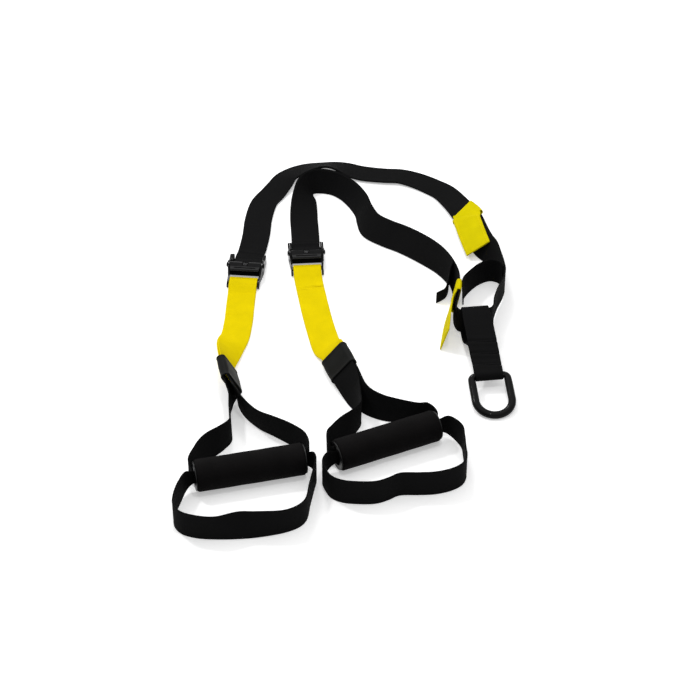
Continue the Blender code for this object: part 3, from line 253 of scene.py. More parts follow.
# Handle legs run from the sleeve to the grip's left end, and from its right end back to the sleeve
HANDLE_LEG_SHARES = {
    "left": (
        [(-0.302, -0.232, 86), (-0.300, -0.296, 90), (-0.295, -0.352, 88), (-0.314, -0.379, 82),
         (-0.347, -0.411, 75), (-0.371, -0.451, 82)],
        [(-0.108, -0.406, 90), (-0.140, -0.372, 90), (-0.186, -0.340, 95), (-0.224, -0.316, 99),
         (-0.252, -0.286, 97), (-0.274, -0.254, 96, 0.03), (-0.289, -0.216, 100, 0.09)],
    ),
    "right": (
        [(0.008, -0.206, -65), (0.022, -0.252, -84), (0.027, -0.288, -90), (0.012, -0.317, -96),
         (-0.012, -0.344, -104), (-0.037, -0.375, -101), (-0.053, -0.399, -94)],
        [(0.194, -0.294, -90), (0.170, -0.293, -90), (0.120, -0.281, -94), (0.080, -0.268, -101),
         (0.044, -0.243, -108), (0.024, -0.214, -112)],
    ),
}
# Foot cradles run from the grip's right end, round the bottom, to its left end; most of it is on edge
CRADLE_SHARES = {
    "left": [
        (-0.082, -0.490), (-0.088, -0.532), (-0.096, -0.580), (-0.104, -0.630), (-0.120, -0.652),
        (-0.154, -0.670), (-0.220, -0.680, 80), (-0.258, -0.682, 76), (-0.314, -0.692), (-0.360, -0.688),
        (-0.396, -0.674), (-0.414, -0.650), (-0.416, -0.618), (-0.406, -0.570),
    ],
    "right": [
        (0.274, -0.372), (0.279, -0.410), (0.280, -0.450), (0.281, -0.484), (0.271, -0.508),
        (0.246, -0.527), (0.206, -0.540), (0.166, -0.543), (0.118, -0.545), (0.094, -0.559),
        (0.064, -0.572), (0.020, -0.574), (-0.020, -0.568), (-0.044, -0.554), (-0.058, -0.530),
        (-0.066, -0.500),
    ],
}
# Turns into a grip's bore: outward along the grip and sideways, as shares of the grip radius, then width
LEG_TURN_SHARES = {
    ("left", -1): [(0.26, 0.74, 0.88), (0.24, 0.42, 0.66), (0.08, 0.15, 0.53)],
    ("left", 1): [(0.46, 0.56, 0.84), (0.36, 0.30, 0.66), (0.08, 0.12, 0.53)],
    ("right", -1): [(0.34, 0.66, 0.84), (0.28, 0.36, 0.64), (0.08, 0.15, 0.53)],
    ("right", 1): [(0.24, 0.86, 0.90), (0.34, 0.44, 0.66), (0.09, 0.15, 0.53)],
}
CRADLE_TURN_SHARES = {
    ("left", -1): [(0.60, -0.26, 0.80), (0.20, -0.09, 0.56)],
    ("left", 1): [(0.52, -0.30, 0.80), (0.18, -0.10, 0.56)],
    ("right", -1): [(0.72, -0.20, 0.80), (0.22, -0.09, 0.56)],
    ("right", 1): [(0.72, -0.26, 0.80), (0.22, -0.09, 0.56)],
}
BORE_WIDTH_share = 0.50
BORE_DEPTH_shares = (0.3, 1.4)
# Tab flaps: x, y, roll and lift as for the straps, from the wrap to the free end
TAB_FLAP_SHARES = {
    "left": [(0.328, 0.544, -15, 0.23), (0.334, 0.500, -20, 0.21), (0.343, 0.445, -27, 0.19),
             (0.353, 0.392, -32, 0.18)],
    "right": [(0.2680, 0.136, -80, 0.05), (0.2610, 0.104, -78, 0.04), (0.2540, 0.060, -76, 0.03),
              (0.2460, -0.004, -74, 0.03)],
}
# Anchor webbing side view: along from the ring's bar to the strap, then height between floor and top
ANCHOR_UPPER_SHARES = [(0.20, 0.60), (0.45, 0.74), (0.75, 0.91)]
ANCHOR_LOWER_SHARES = [(0.90, 0.030), (0.76, 0.160), (0.58, 0.480), (0.46, 0.660)]
ANCHOR_SEWN_SHARES = [0.36, 0.26, 0.16]
ANCHOR_SEWN_STEP = 0.002185
# Where it comes back below the bar: along and down, as shares of its turn's radius
ANCHOR_RETURN_SHARES = (1.6, 0.25)
ANCHOR_NARROW_share = 0.94
# Stretches near the bar and near the strap loop over which the webbing is drawn in
ANCHOR_DRAWN_SHARES = (0.3, 0.2)

# Creases across the yellow plies from the buckle's bar: distance, height, half length and slant
YELLOW_CREASES = {
    "left": [(0.016, 0.0004, 0.0016, 0.10), (0.026, -0.0005, 0.0020, -0.05), (0.043, 0.0004, 0.0022, 0.16),
             (0.058, -0.0004, 0.0022, -0.10), (0.071, 0.0004, 0.0026, 0.05)],
    "right": [(0.018, 0.0003, 0.0018, 0.06), (0.040, 0.0009, 0.0016, -0.06), (0.043, -0.0007, 0.0014, -0.06),
              (0.062, 0.0003, 0.0024, 0.08)],
}
YELLOW_SEAMS = {"left": (0.010,), "right": (0.0405,)}
# Folds of the adjuster ply, from the turn in the buckle: as above
LEG_CREASES = {
    "left": [(0.034, 0.0012, 0.0020, 0.04), (0.041, 0.0008, 0.0018, -0.05), (0.049, 0.0009, 0.0022, 0.03)],
    "right": [(0.0345, 0.0036, 0.0042, 0.0), (0.047, 0.0008, 0.0020, 0.05)],
}
ANCHOR_TACK_SHARES = (0.14, 0.31, 0.48)

# Light
FLOOR_GLOW = 0.36
FLOOR_FAR_GLOW = 0.75
FLOOR_NEAR = 0.8
FLOOR_FAR = 3.0
FLOOR_HALF = 8
FLOOR_WHITE = (0.93, 0.93, 0.93)
WORLD_STRENGTH = 0.43
# Name, place, aim, size and power
LAMPS = [
    ("softbox_top", (0.1, 0.2, 1.9), (0, 0, 0), (2.4, 2.0), 12.0),
    ("key_back", (-0.25, 1.3, 1.4), (0, 0, 0), (0.30, 0.30), 8.0),
    ("key_left", (-0.9, 0.4, 1.5), (0, 0, 0), (0.14, 0.14), 9.0),
    ("glint_front", (0.15, -0.55, 1.4), (0.1, 0, 0), (0.06, 0.06), 2.4),
]

# Looks
BLACK_WEBBING = (0.0054, 0.0054, 0.0056)
YELLOW_WEBBING = (0.745, 0.582, 0.0008)
TAB_YELLOW = (0.640, 0.545, 0.0010)
SLEEVE_RUBBER = (0.0066, 0.0068, 0.0063)
FOAM_BLACK = (0.0040, 0.0036, 0.0037)
PLASTIC_BLACK = (0.0050, 0.0050, 0.0052)
STEEL_BLACK = (0.0040, 0.0040, 0.0042)
RING_BLACK = (0.0020, 0.0020, 0.0021)
WIRE_DARK = (0.050, 0.050, 0.052)
THREAD_BLACK = (0.0100, 0.0100, 0.0106)
THREAD_YELLOW = (0.820, 0.660, 0.003)
WEBBING_SPECULAR = 0.03
RIB_LEAN = 1.6
RIB_HEIGHT = 0.00022
GROOVE_POWER = 6.0
# Noises: scale, detail, roughness and stretch
FIBRES = (2600, 3)
WORN_PATCHES = (38, 3, 0.6)
FOAM_PORES = (3200, 3, 0.7)
FOAM_PATCHES = (45, 4, 0.6)
FOAM_CELLS = 1300
COAT_PATCHES = (120, 3)
COAT_PEEL = (700, 3)
THREAD_TWIST = (3400, 2)
DRAWN_WIRE = (500, 2, 0.5, (1, 12, 12))
STEEL_ROUGHNESS = 0.45
GLOSS_SPREAD = 0.18
FOAM_PORE_DEPTH = 0.8
WORN_share = 0.65
# Tints: the low and high ends of a noise's range, and the dark and bright shade that they get
WOVEN_TINT = (0.2, 0.85, 0.86, 1.12)
FOAM_TINT = (0.25, 0.75, 0.8, 1.35)
STEEL_TINT = (0.3, 0.75, 0.8, 1.5)
GRAIN_RANGE = (0.3, 0.7)
THREAD_SHADES = (0.8, 1.15)
# Bumps: strength and height
FOAM_BUMP = (0.45, 0.00030)
COAT_BUMP = (0.14, 0.00014)
THREAD_BUMP = (0.3, 0.0001)

UP = Vector((0, 0, 1))


def arc(center, radius, start, end, steps):
    """Points on an arc, both ends included; angles in degrees."""
    points = []
    for i in range(steps + 1):
        angle = math.radians(start + (end - start) * i / steps)
        points.append((center[0] + radius * math.cos(angle), center[1] + radius * math.sin(angle)))
    return points


def round_section(radius, sides):
    return arc((0, 0), radius, 0, 360 - 360 / sides, sides - 1)


def stations(shares, plain_roll=0):
    """Station shares as knots of x, y, lift, roll and width in real sizes."""
    plain = (plain_roll, 0, 1)
    knots = []
    for row in shares:
        x, y, roll, lift, width = (*row, *plain[len(row) - 2:])
        knots.append((
            x * LAID_SPAN, y * LAID_SPAN, lift * WEBBING_WIDTH, math.radians(roll), width * WEBBING_WIDTH,
        ))
    return knots


def center_height(lift, roll, thickness):
    """Height of a ribbon's middle line when its lowest edge is lifted by the given amount."""
    return lift + abs(math.sin(roll)) * WEBBING_WIDTH / 2 + abs(math.cos(roll)) * thickness / 2


def knot_at(point, roll, thickness, width=WEBBING_WIDTH):
    """A knot whose middle line passes through a given point."""
    lift = point.z - center_height(0, roll, thickness)
    return (point.x, point.y, lift, roll, width)


def curve_through(knots, closed=False):
    """Close points on a centripetal curve through the knots, and the index at which each knot falls."""
    rows = np.array(knots, float)
    if closed:
        rows = np.vstack([rows[-1:], rows, rows[:2]])
    else:
        rows = np.vstack([2 * rows[0] - rows[1], rows, 2 * rows[-1] - rows[-2]])
    points = []
    starts = []
    for four in zip(rows, rows[1:], rows[2:], rows[3:]):
        gaps = [math.sqrt(np.linalg.norm((q - p)[:3])) for p, q in zip(four, four[1:])]
        times = np.cumsum([0.0, *gaps])
        steps = max(2, math.ceil(np.linalg.norm((four[2] - four[1])[:3]) / SAMPLE_STEP))
        starts.append(len(points))
        for time in np.linspace(times[1], times[2], steps, endpoint=False):
            points.append(blended(four, times, time))
    if not closed:
        starts.append(len(points))
        points.append(rows[-2])
    return np.array(points), starts


def blended(four, times, time):
    """The point that four knots give at a time between the middle two: three rounds of blending pairs."""
    level = list(four)
    for spans in (((0, 1), (1, 2), (2, 3)), ((0, 2), (1, 3)), ((1, 2),)):
        level = [
            ((times[b] - time) * one + (time - times[a]) * other) / (times[b] - times[a])
            for (a, b), one, other in zip(spans, level, level[1:])
        ]
    return level[0]


def section(point, across, along, width):
    """A ribbon frame: middle point, unit vector across, unit normal and width."""
    along = along.normalized()
    across = (across - along * across.dot(along)).normalized()
    return (point, across, across.cross(along).normalized(), width)


def heading_at(middles, i, closed=False):
    """The way from the point before one on a line to the point after it."""
    count = len(middles)
    if closed:
        return middles[(i + 1) % count] - middles[i - 1]
    return middles[min(i + 1, count - 1)] - middles[max(i - 1, 0)]


def floor_frames(points, thickness, closed=False, level=False):
    """Frames of a ribbon that stands or lies on the floor along x, y, lift, roll and width. Level frames
    keep their sections upright where a ribbon on edge climbs, or narrows towards the floor."""
    middles = [Vector((x, y, center_height(lift, roll, thickness))) for x, y, lift, roll, _ in points]
    frames = []
    for i, (_, _, _, roll, width) in enumerate(points):
        along = heading_at(middles, i, closed)
        if level:
            along.z = 0
        side = Vector((along.y, -along.x, 0)).normalized()
        across = side * math.cos(roll) + UP * math.sin(roll)
        frames.append(off_floor(section(middles[i], across, along, width), thickness))
    return frames


def off_floor(one, thickness):
    """A frame raised, where a bend would dip its lower corner below the floor."""
    point, across, normal, width = one
    lowest = point.z - abs(across.z) * width / 2 - abs(normal.z) * thickness / 2
    return (point + UP * max(0, -lowest), across, normal, width)


def second_ply(frames, step, first_gap, flat=0.0, shift=0.0):
    """Frames of a ply that lies on another: further off it at the start, where it comes from a bar, and
    moved aside by a shift that fades out where the ribbon is on edge."""
    moved = []
    travelled = 0.0
    before = frames[0][0]
    for point, across, normal, width in frames:
        travelled += (point - before).length
        before = point
        share = min(1, max(0, (travelled - flat) / PLY_REACH))
        off = step + (first_gap - step) * (1 - share) ** 2 * (1 + 2 * share)
        aside = shift * share * abs(normal.z)
        moved.append((point + normal * off + across * aside, across, normal, width))
    return moved


def flipped(frames):
    return [(point, across, -normal, width) for point, across, normal, width in frames]


def profile_frames(side_view, place, width_at=lambda along: WEBBING_WIDTH, closed=False):
    """Frames of a ribbon whose side view is a line of (along, height) in the Y-Z plane of a place."""
    across = place.to_3x3() @ Vector((1, 0, 0))
    middles = [place @ Vector((0, along, height)) for along, height in side_view]
    return [
        section(middle, across, heading_at(middles, i, closed), width_at(side_view[i][0]))
        for i, middle in enumerate(middles)]


def place_on_floor(x_share, y_share, yaw, height=0.0):
    spot = (x_share * LAID_SPAN, y_share * LAID_SPAN, height)
    return Matrix.Translation(spot) @ Matrix.Rotation(math.radians(yaw), 4, "Z")


def buckle_place(side):
    return place_on_floor(*BUCKLE_PLACES[side])


def grip_place(side):
    return place_on_floor(*GRIP_PLACES[side], GRIP_RADIUS)


def buckle_knots(place, thickness, side_view):
    """Knots on a buckle's middle line at the given places along it and heights."""
    return [knot_at(place @ Vector((0, along, height)), 0, thickness) for along, height in side_view]


def carried_on(frames, before):
    """Frames whose across and normal vectors are turned, where needed, to carry on from a frame."""
    side = math.copysign(1, frames[0][1].dot(before[1]))
    face = math.copysign(1, frames[0][2].dot(before[2]))
    return [(point, across * side, normal * face, width) for point, across, normal, width in frames]


def sleeve_frame(side):
    """The sleeve's middle, heading, across, normal and roll."""
    x_share, y_share, bearing, roll = SLEEVE_PLACES[side]
    roll = math.radians(roll)
    bearing = math.radians(bearing)
    heading = Vector((-math.sin(bearing), -math.cos(bearing), 0))
    height = SEAM_GAP + abs(math.sin(roll)) * (SLEEVE_HALF_WIDTH + SLEEVE_WALL)
    height += abs(math.cos(roll)) * (SLEEVE_HALF_THICKNESS + SLEEVE_WALL)
    middle = Vector((x_share * LAID_SPAN, y_share * LAID_SPAN, height))
    across = Vector((heading.y, -heading.x, 0)) * math.cos(roll) + UP * math.sin(roll)
    return middle, heading, across, across.cross(heading), roll


def sleeve_knots(side, shares, off, thickness, back=False):
    """Knots of a ply in a sleeve: by shares of its length from its middle, and a distance off it. A ply
    on its way back is turned over."""
    middle, heading, _, normal, roll = sleeve_frame(side)
    if back:
        roll = math.copysign(math.pi, roll) - roll
    return [
        knot_at(middle + heading * (share * SLEEVE_LENGTH) + normal * off, roll, thickness)
        for share in shares]


def bore_knots(side, end, turn_shares, hand, roll):
    """Knots from outside a grip's end into its bore; end is -1 on the left and 1 on the right."""
    half = GRIP_LENGTH / 2
    apart = hand * PLY_APART_IN_BORE
    spots = [
        (half + out * GRIP_RADIUS, aside * GRIP_RADIUS, width)
        for out, aside, width in turn_shares[side, end]]
    spots += [(half - depth * GRIP_RADIUS, apart, BORE_WIDTH_share) for depth in BORE_DEPTH_shares]
    place = grip_place(side)
    return [
        knot_at(place @ Vector((end * along, aside, 0)), roll, WEBBING_THICKNESS, width * WEBBING_WIDTH)
        for along, aside, width in spots]


def anchor_place():
    """The place on the floor below the ring's bar, looking along the anchor webbing, and its length."""
    x, y = (loop - ring for loop, ring in zip(LOOP_MIDDLE_SHARES, RING_BAR_SHARES))
    return place_on_floor(*RING_BAR_SHARES, math.degrees(math.atan2(-x, y))), math.hypot(x, y) * LAID_SPAN


def wrap_part(frames, start, length):
    """The stretch of a ribbon's frames that a wrap of the given length covers from a start index."""
    picked = [frames[start]]
    travelled = 0.0
    for before, following in zip(frames[start:], frames[start + 1:]):
        travelled += (following[0] - before[0]).length
        if travelled > length:
            break
        if travelled > length * len(picked) / WRAP_STEPS:
            picked.append(following)
    return picked


def layout_shift():
    """From the layout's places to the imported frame's: a grip's box is centred on its layout place."""
    low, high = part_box("left_foam_grip")
    spot = grip_place("left").translation
    return Vector([(low[i] + high[i]) / 2 - spot[i] for i in range(3)])


SHIFT = layout_shift()


def add_object(name, data):
    made = bpy.data.objects.new(name, data)
    bpy.context.scene.collection.objects.link(made)
    return made


def add_piece(name, bm, look, nodes=(), body="webbing", place=None, smooth=SMOOTH_ANGLE):
    """A bmesh in layout places as a named piece that rides on a body and replaces its nodes."""
    material, slot = LOOK[look]
    bmesh.ops.recalc_face_normals(bm, faces=bm.faces)
    bmesh.ops.transform(bm, matrix=Matrix.Translation(SHIFT) @ (place or Matrix.Identity(4)), verts=bm.verts)
    mesh = bpy.data.meshes.new(name)
    bm.to_mesh(mesh)
    bm.free()
    mesh.shade_smooth()
    mesh.set_sharp_from_angle(angle=math.radians(smooth))
    mesh.materials.append(material)
    piece = add_object(name, mesh)
    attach(piece, body)
    if nodes:
        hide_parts(*nodes)
    return piece


def lengths_along(frames):
    travelled = [0.0]
    for before, following in zip(frames, frames[1:]):
        travelled.append(travelled[-1] + (following[0] - before[0]).length)
    return travelled


def webbing_outline(width, thickness):
    """Half of a strap's section from its right edge over the top to its left edge: across and up."""
    half = width / 2
    up = thickness / 2
    edge = min(SELVEDGE, half * SELVEDGE_LIMIT_share)
    right = [
        (half - thickness * round_share - edge * edge_share, up * height_share)
        for round_share, edge_share, height_share in SELVEDGE_SHARES]
    right.append((half / 2, up * FACE_SHARES[0]))
    return right + [(0.0, up * FACE_SHARES[1])] + [(-across, height) for across, height in right[::-1]]


def skin(bm, uv, pairs):
    """Faces between pairs of rings, with a UV map in metres. A ring is its (vertex, across), and along."""
    for (ring, v0), (following, v1) in pairs:
        for i in range(len(ring)):
            j = (i + 1) % len(ring)
            corners = ((ring[i], v0), (ring[j], v0), (following[j], v1), (following[i], v1))
            face = bm.faces.new([vert for (vert, _), _ in corners])
            for loop, ((_, u), v) in zip(face.loops, corners):
                loop[uv].uv = (u, v)


def join_rings(bm, rings, closed=False):
    """Faces between rings of vertices, round a closed path or capped at both ends."""
    following_rings = rings[1:] + (rings[:1] if closed else [])
    for ring, following in zip(rings, following_rings):
        for i in range(len(ring)):
            j = (i + 1) % len(ring)
            bm.faces.new((ring[i], ring[j], following[j], following[i]))
    if not closed:
        cap_ends(bm, rings[0], rings[-1])


def cap_ends(bm, first, last):
    bm.faces.new(first[::-1])
    bm.faces.new(last)


def webbing_mesh(frames, thickness, closed=False, creases=(), mesh=None):
    """A strap with selvedges along its frames; a crease has its distance, height, half length and slant."""
    bm = mesh or bmesh.new()
    uv = bm.loops.layers.uv.verify()
    travelled = lengths_along(frames)
    rings = []
    for (point, across, normal, width), distance in zip(frames, travelled):
        top = webbing_outline(width, thickness)
        ring = []
        for a, h in top + [(a, -h) for a, h in top[-2:0:-1]]:
            for middle, height, reach, slant in creases:
                h += height * math.exp(-((distance - middle + slant * a) / reach) ** 2)
            ring.append((bm.verts.new(point + across * a + normal * h), a + WEBBING_WIDTH / 2))
        rings.append((ring, distance))
    pairs = list(zip(rings, rings[1:]))
    if closed:
        gap = (frames[-1][0] - frames[0][0]).length
        pairs.append((rings[-1], (rings[0][0], travelled[-1] + gap)))
    skin(bm, uv, pairs)
    if not closed:
        cap_ends(bm, *([vert for vert, _ in ring] for ring, _ in (rings[0], rings[-1])))
    return bm


def woven(name, node, frames, thickness=WEBBING_THICKNESS, look="black_webbing", **shape):
    """A strap's piece, which replaces its node."""
    add_piece(name, webbing_mesh(frames, thickness, **shape), look, [node])


def rounded_tube(frames, half_width, half_thickness, walls, corner_steps):
    """A flattened sleeve with round corners along frames, with its wall at each."""
    bm = bmesh.new()
    uv = bm.loops.layers.uv.verify()
    outer_path = []
    inner_path = []
    for (point, across, normal, _), wall, distance in zip(frames, walls, lengths_along(frames)):
        for grow, path in ((0.0, inner_path), (wall, outer_path)):
            corner = half_thickness * TUBE_CORNER_share + grow
            reach = half_width + grow - corner
            rise = half_thickness + grow - corner
            ring = []
            for quarter, (hand, side) in enumerate(((1, 1), (-1, 1), (-1, -1), (1, -1))):
                start = 90 * quarter
                for a, h in arc((hand * reach, side * rise), corner, start, start + 90, corner_steps):
                    ring.append((bm.verts.new(point + across * a + normal * h), a + WEBBING_WIDTH / 2))
            path.append((ring, distance))
    around = outer_path + inner_path[::-1]
    skin(bm, uv, zip(around, around[1:] + around[:1]))
    return bm


def swept(points, radii, flat):
    """A closed rod along points in their own plane, flattened across it."""
    bm = bmesh.new()
    rings = []
    for i, (point, radius) in enumerate(zip(points, radii)):
        side = heading_at(points, i, closed=True).normalized().cross(UP).normalized()
        rings.append([
            bm.verts.new(point + side * a + UP * (h * flat))
            for a, h in round_section(radius, ROD_SIDES)])
    join_rings(bm, rings, closed=True)
    return bm


def turned(profile):
    """Revolves a closed outline of (along, radius) about X."""
    bm = bmesh.new()
    rings = []
    for i in range(TURNED_SIDES):
        angle = math.tau * i / TURNED_SIDES
        rings.append([
            bm.verts.new((along, radius * math.cos(angle), radius * math.sin(angle)))
            for along, radius in profile])
    join_rings(bm, rings, closed=True)
    return bm


def ribbon_point(frames, distance):
    """Middle, across, normal, along and width of a ribbon at a distance along it."""
    travelled = lengths_along(frames)
    distance = min(max(distance, 0.0), travelled[-1])
    index = min(max(int(np.searchsorted(travelled, distance)) - 1, 0), len(frames) - 2)
    share = (distance - travelled[index]) / max(travelled[index + 1] - travelled[index], LEAST_LENGTH)
    one, two = frames[index], frames[index + 1]
    across = one[1].lerp(two[1], share).normalized()
    normal = one[2].lerp(two[2], share).normalized()
    along = (two[0] - one[0]).normalized()
    return one[0].lerp(two[0], share), across, normal, along, one[3] + (two[3] - one[3]) * share


def stitch(bm, middle, along, normal, pitch):
    """One stitch: a short flattened grain of thread, pulled down at its ends."""
    side = normal.cross(along).normalized()
    rings = []
    for share, size, sink in STITCH_SECTIONS:
        center = middle + along * (share * STITCH_LENGTH_share * pitch) - normal * (sink * THREAD_RADIUS)
        rings.append([
            bm.verts.new(center + side * (a * STITCH_FLATNESS) + normal * h)
            for a, h in round_section(THREAD_RADIUS * size, STITCH_SIDES)])
    join_rings(bm, rings)


def stitches_across(bm, frames, distance, rise, face=1, margin=HEM, pitch=STITCH_PITCH):
    """A row of stitches across a ribbon, on the face that its normal (1) or its back (-1) looks out of."""
    point, across, normal, _, width = ribbon_point(frames, distance)
    reach = width / 2 - margin
    count = max(2, round(2 * reach / pitch))
    for i in range(count + 1):
        aside = -reach + 2 * reach * i / count
        stitch(bm, point + across * aside + normal * (face * rise), across, normal * face, pitch)


def stitches_along(bm, frames, start, end, aside, rise, face):
    """A row of stitches along a ribbon, a signed distance aside of its middle."""
    count = max(1, round(abs(end - start) / STITCH_PITCH))
    for i in range(count + 1):
        point, across, normal, along, _ = ribbon_point(frames, start + (end - start) * i / count)
        stitch(bm, point + across * aside + normal * (face * rise), along, normal * face, STITCH_PITCH)


def fill(node, **values):
    """Sets constants on a node's inputs, whose names have _ for a space."""
    for key, value in values.items():
        node.inputs[key.replace("_", " ")].default_value = value


class Shader:
    """A node tree, of a new material unless one is given, with short calls for what the looks below need."""

    def __init__(self, name, tree=None):
        if tree is None:
            self.material = bpy.data.materials.new(name)
            self.material.use_nodes = True
            tree = self.material.node_tree
            self.surface = tree.nodes["Principled BSDF"]
        self.tree = tree

    def node(self, kind, **values):
        made = self.tree.nodes.new(kind)
        for key, value in values.items():
            setattr(made, key, value)
        return made

    def link(self, source, target):
        self.tree.links.new(source, target)

    def place(self, kind):
        return self.node("ShaderNodeTexCoord").outputs[kind]

    def math(self, operation, *values):
        made = self.node("ShaderNodeMath", operation=operation)
        for socket, value in zip(made.inputs, values):
            if isinstance(value, (int, float)):
                socket.default_value = value
            else:
                self.link(value, socket)
        return made.outputs[0]

    def noise(self, scale, detail=2.0, roughness=0.5, stretch=None):
        source = self.place("Object")
        if stretch:
            mapping = self.node("ShaderNodeMapping")
            fill(mapping, Scale=stretch)
            self.link(source, mapping.inputs["Vector"])
            source = mapping.outputs["Vector"]
        made = self.node("ShaderNodeTexNoise")
        fill(made, Scale=scale, Detail=detail, Roughness=roughness)
        self.link(source, made.inputs["Vector"])
        return made.outputs["Fac"]

    def tint(self, value, color, low, high, dark, bright):
        """Base colour between a dark and a bright shade of a colour, as a value goes from low to high."""
        made = self.node("ShaderNodeValToRGB")
        for element, position, shade in zip(made.color_ramp.elements, (low, high), (dark, bright)):
            element.position = position
            element.color = (*(channel * shade for channel in color), 1)
        self.link(value, made.inputs["Fac"])
        self.link(made.outputs["Color"], self.surface.inputs["Base Color"])

    def bump(self, height, strength, distance):
        made = self.node("ShaderNodeBump")
        fill(made, Strength=strength, Distance=distance)
        self.link(height, made.inputs["Height"])
        self.link(made.outputs["Normal"], self.surface.inputs["Normal"])


def webbing_look(name, color, rib_depth, column=0.0042, pick=0.00105):
    """Woven webbing: columns of slanting ribs, read from the UV map's metres, with fibre noise."""
    look = Shader(name)
    parts = look.node("ShaderNodeSeparateXYZ")
    look.link(look.place("UV"), parts.inputs[0])
    fold = look.math("DIVIDE", look.math("PINGPONG", parts.outputs["X"], column / 2), column / 2)
    lean = look.math("MULTIPLY", fold, RIB_LEAN)
    phase = look.math("ADD", look.math("DIVIDE", parts.outputs["Y"], pick), lean)
    rib = look.math("SINE", look.math("MULTIPLY", phase, math.tau))
    rib = look.math("ADD", look.math("MULTIPLY", rib, 0.5), 0.5)
    crease = look.math("ABSOLUTE", look.math("SUBTRACT", fold, 0.5))
    steep = look.math("POWER", look.math("MULTIPLY", crease, 2.0), GROOVE_POWER)
    groove = look.math("SUBTRACT", 1.0, steep)
    fibre = look.noise(*FIBRES)
    wide = look.noise(*WORN_PATCHES)
    height = look.math("ADD", look.math("MULTIPLY", rib, groove), look.math("MULTIPLY", fibre, 0.5))
    worn = look.math("MULTIPLY", wide, WORN_share)
    tone = look.math("ADD", look.math("MULTIPLY", rib, 1 - WORN_share), worn)
    look.tint(tone, color, *WOVEN_TINT)
    look.bump(height, rib_depth, RIB_HEIGHT)
    fill(look.surface, Roughness=0.82, Specular_IOR_Level=WEBBING_SPECULAR)
    return look.material


def grained_look(name, color, shades, wide, grain, bump, **values):
    """A plain surface: wide patches between two shades, and a fine grain. Both noises are (scale, detail,
    roughness, stretch), with the last two left out where plain; the bump is (strength, height)."""
    look = Shader(name)
    look.tint(look.noise(*wide), color, *GRAIN_RANGE, *shades)
    look.bump(look.noise(*grain), *bump)
    fill(look.surface, **values)
    return look.material


def thread_look(name, color):
    return grained_look(
        name, color, THREAD_SHADES, THREAD_TWIST, THREAD_TWIST, THREAD_BUMP,
        Roughness=0.6, Specular_IOR_Level=0.05)


def foam_look(name, color):
    """Closed-cell foam: pores at two sizes."""
    look = Shader(name)
    cells = look.node("ShaderNodeTexVoronoi", feature="F1")
    fill(cells, Scale=FOAM_CELLS)
    look.link(look.place("Object"), cells.inputs["Vector"])
    fine = look.math("MULTIPLY", look.noise(*FOAM_PORES), FOAM_PORE_DEPTH)
    look.tint(look.noise(*FOAM_PATCHES), color, *FOAM_TINT)
    look.bump(look.math("ADD", cells.outputs["Distance"], fine), *FOAM_BUMP)
    fill(look.surface, Roughness=0.85, Specular_IOR_Level=0.05)
    return look.material


def coated_steel_look(name, color, coat):
    """Black coated steel: faint orange peel, with small changes of gloss."""
    look = Shader(name)
    wide = look.noise(*COAT_PATCHES)
    look.tint(wide, color, *STEEL_TINT)
    spread = look.math("MULTIPLY", wide, GLOSS_SPREAD)
    spread = look.math("ADD", spread, STEEL_ROUGHNESS - GLOSS_SPREAD / 2)
    look.link(spread, look.surface.inputs["Roughness"])
    look.bump(look.noise(*COAT_PEEL), *COAT_BUMP)
    fill(look.surface, Specular_IOR_Level=0.02, Coat_Weight=coat, Coat_IOR=1.15, Coat_Roughness=0.07)
    return look.material


# Each look's material and the record's slot that it shows
LOOK = {
    "black_webbing": (webbing_look("woven_black", BLACK_WEBBING, 0.40), "black_webbing"),
    "yellow_webbing": (webbing_look("woven_yellow", YELLOW_WEBBING, 0.30, pick=0.0012), "yellow_webbing"),
    "tab_yellow": (
        webbing_look("tab_yellow", TAB_YELLOW, 0.26, column=0.0030, pick=0.0010), "yellow_webbing"),
    "thread_black": (thread_look("thread_black", THREAD_BLACK), "black_webbing"),
    "thread_yellow": (thread_look("thread_yellow", THREAD_YELLOW), "yellow_webbing"),
    "sleeve_cloth": (grained_look(
        "sleeve_rubber", SLEEVE_RUBBER, (0.85, 1.2), (60, 3), (1500, 4, 0.65), (0.35, 0.00018),
        Roughness=0.55, Specular_IOR_Level=0.05), "sleeve_cloth"),
    "foam": (foam_look("foam_black", FOAM_BLACK), "foam"),
    "black_plastic": (grained_look(
        "plastic_black", PLASTIC_BLACK, (0.9, 1.15), (90, 2), (2200, 2), (0.12, 0.00012),
        Roughness=0.34, Specular_IOR_Level=0.22), "black_plastic"),
    "black_steel": (coated_steel_look("coated_steel", STEEL_BLACK, 0.7), "black_steel"),
    "ring_steel": (coated_steel_look("ring_steel", RING_BLACK, 1.0), "black_steel"),
    "bare_steel": (grained_look(
        "spring_wire", WIRE_DARK, (0.7, 1.3), DRAWN_WIRE, DRAWN_WIRE, (0.15, 0.00008),
        Metallic=1.0, Roughness=0.32), "bare_steel"),
}


def turned_down(creases, before):
    """Creases of a ply that lies face down after the turn in a buckle, a distance before it."""
    return [(before + at, -height, reach, slant) for at, height, reach, slant in creases]


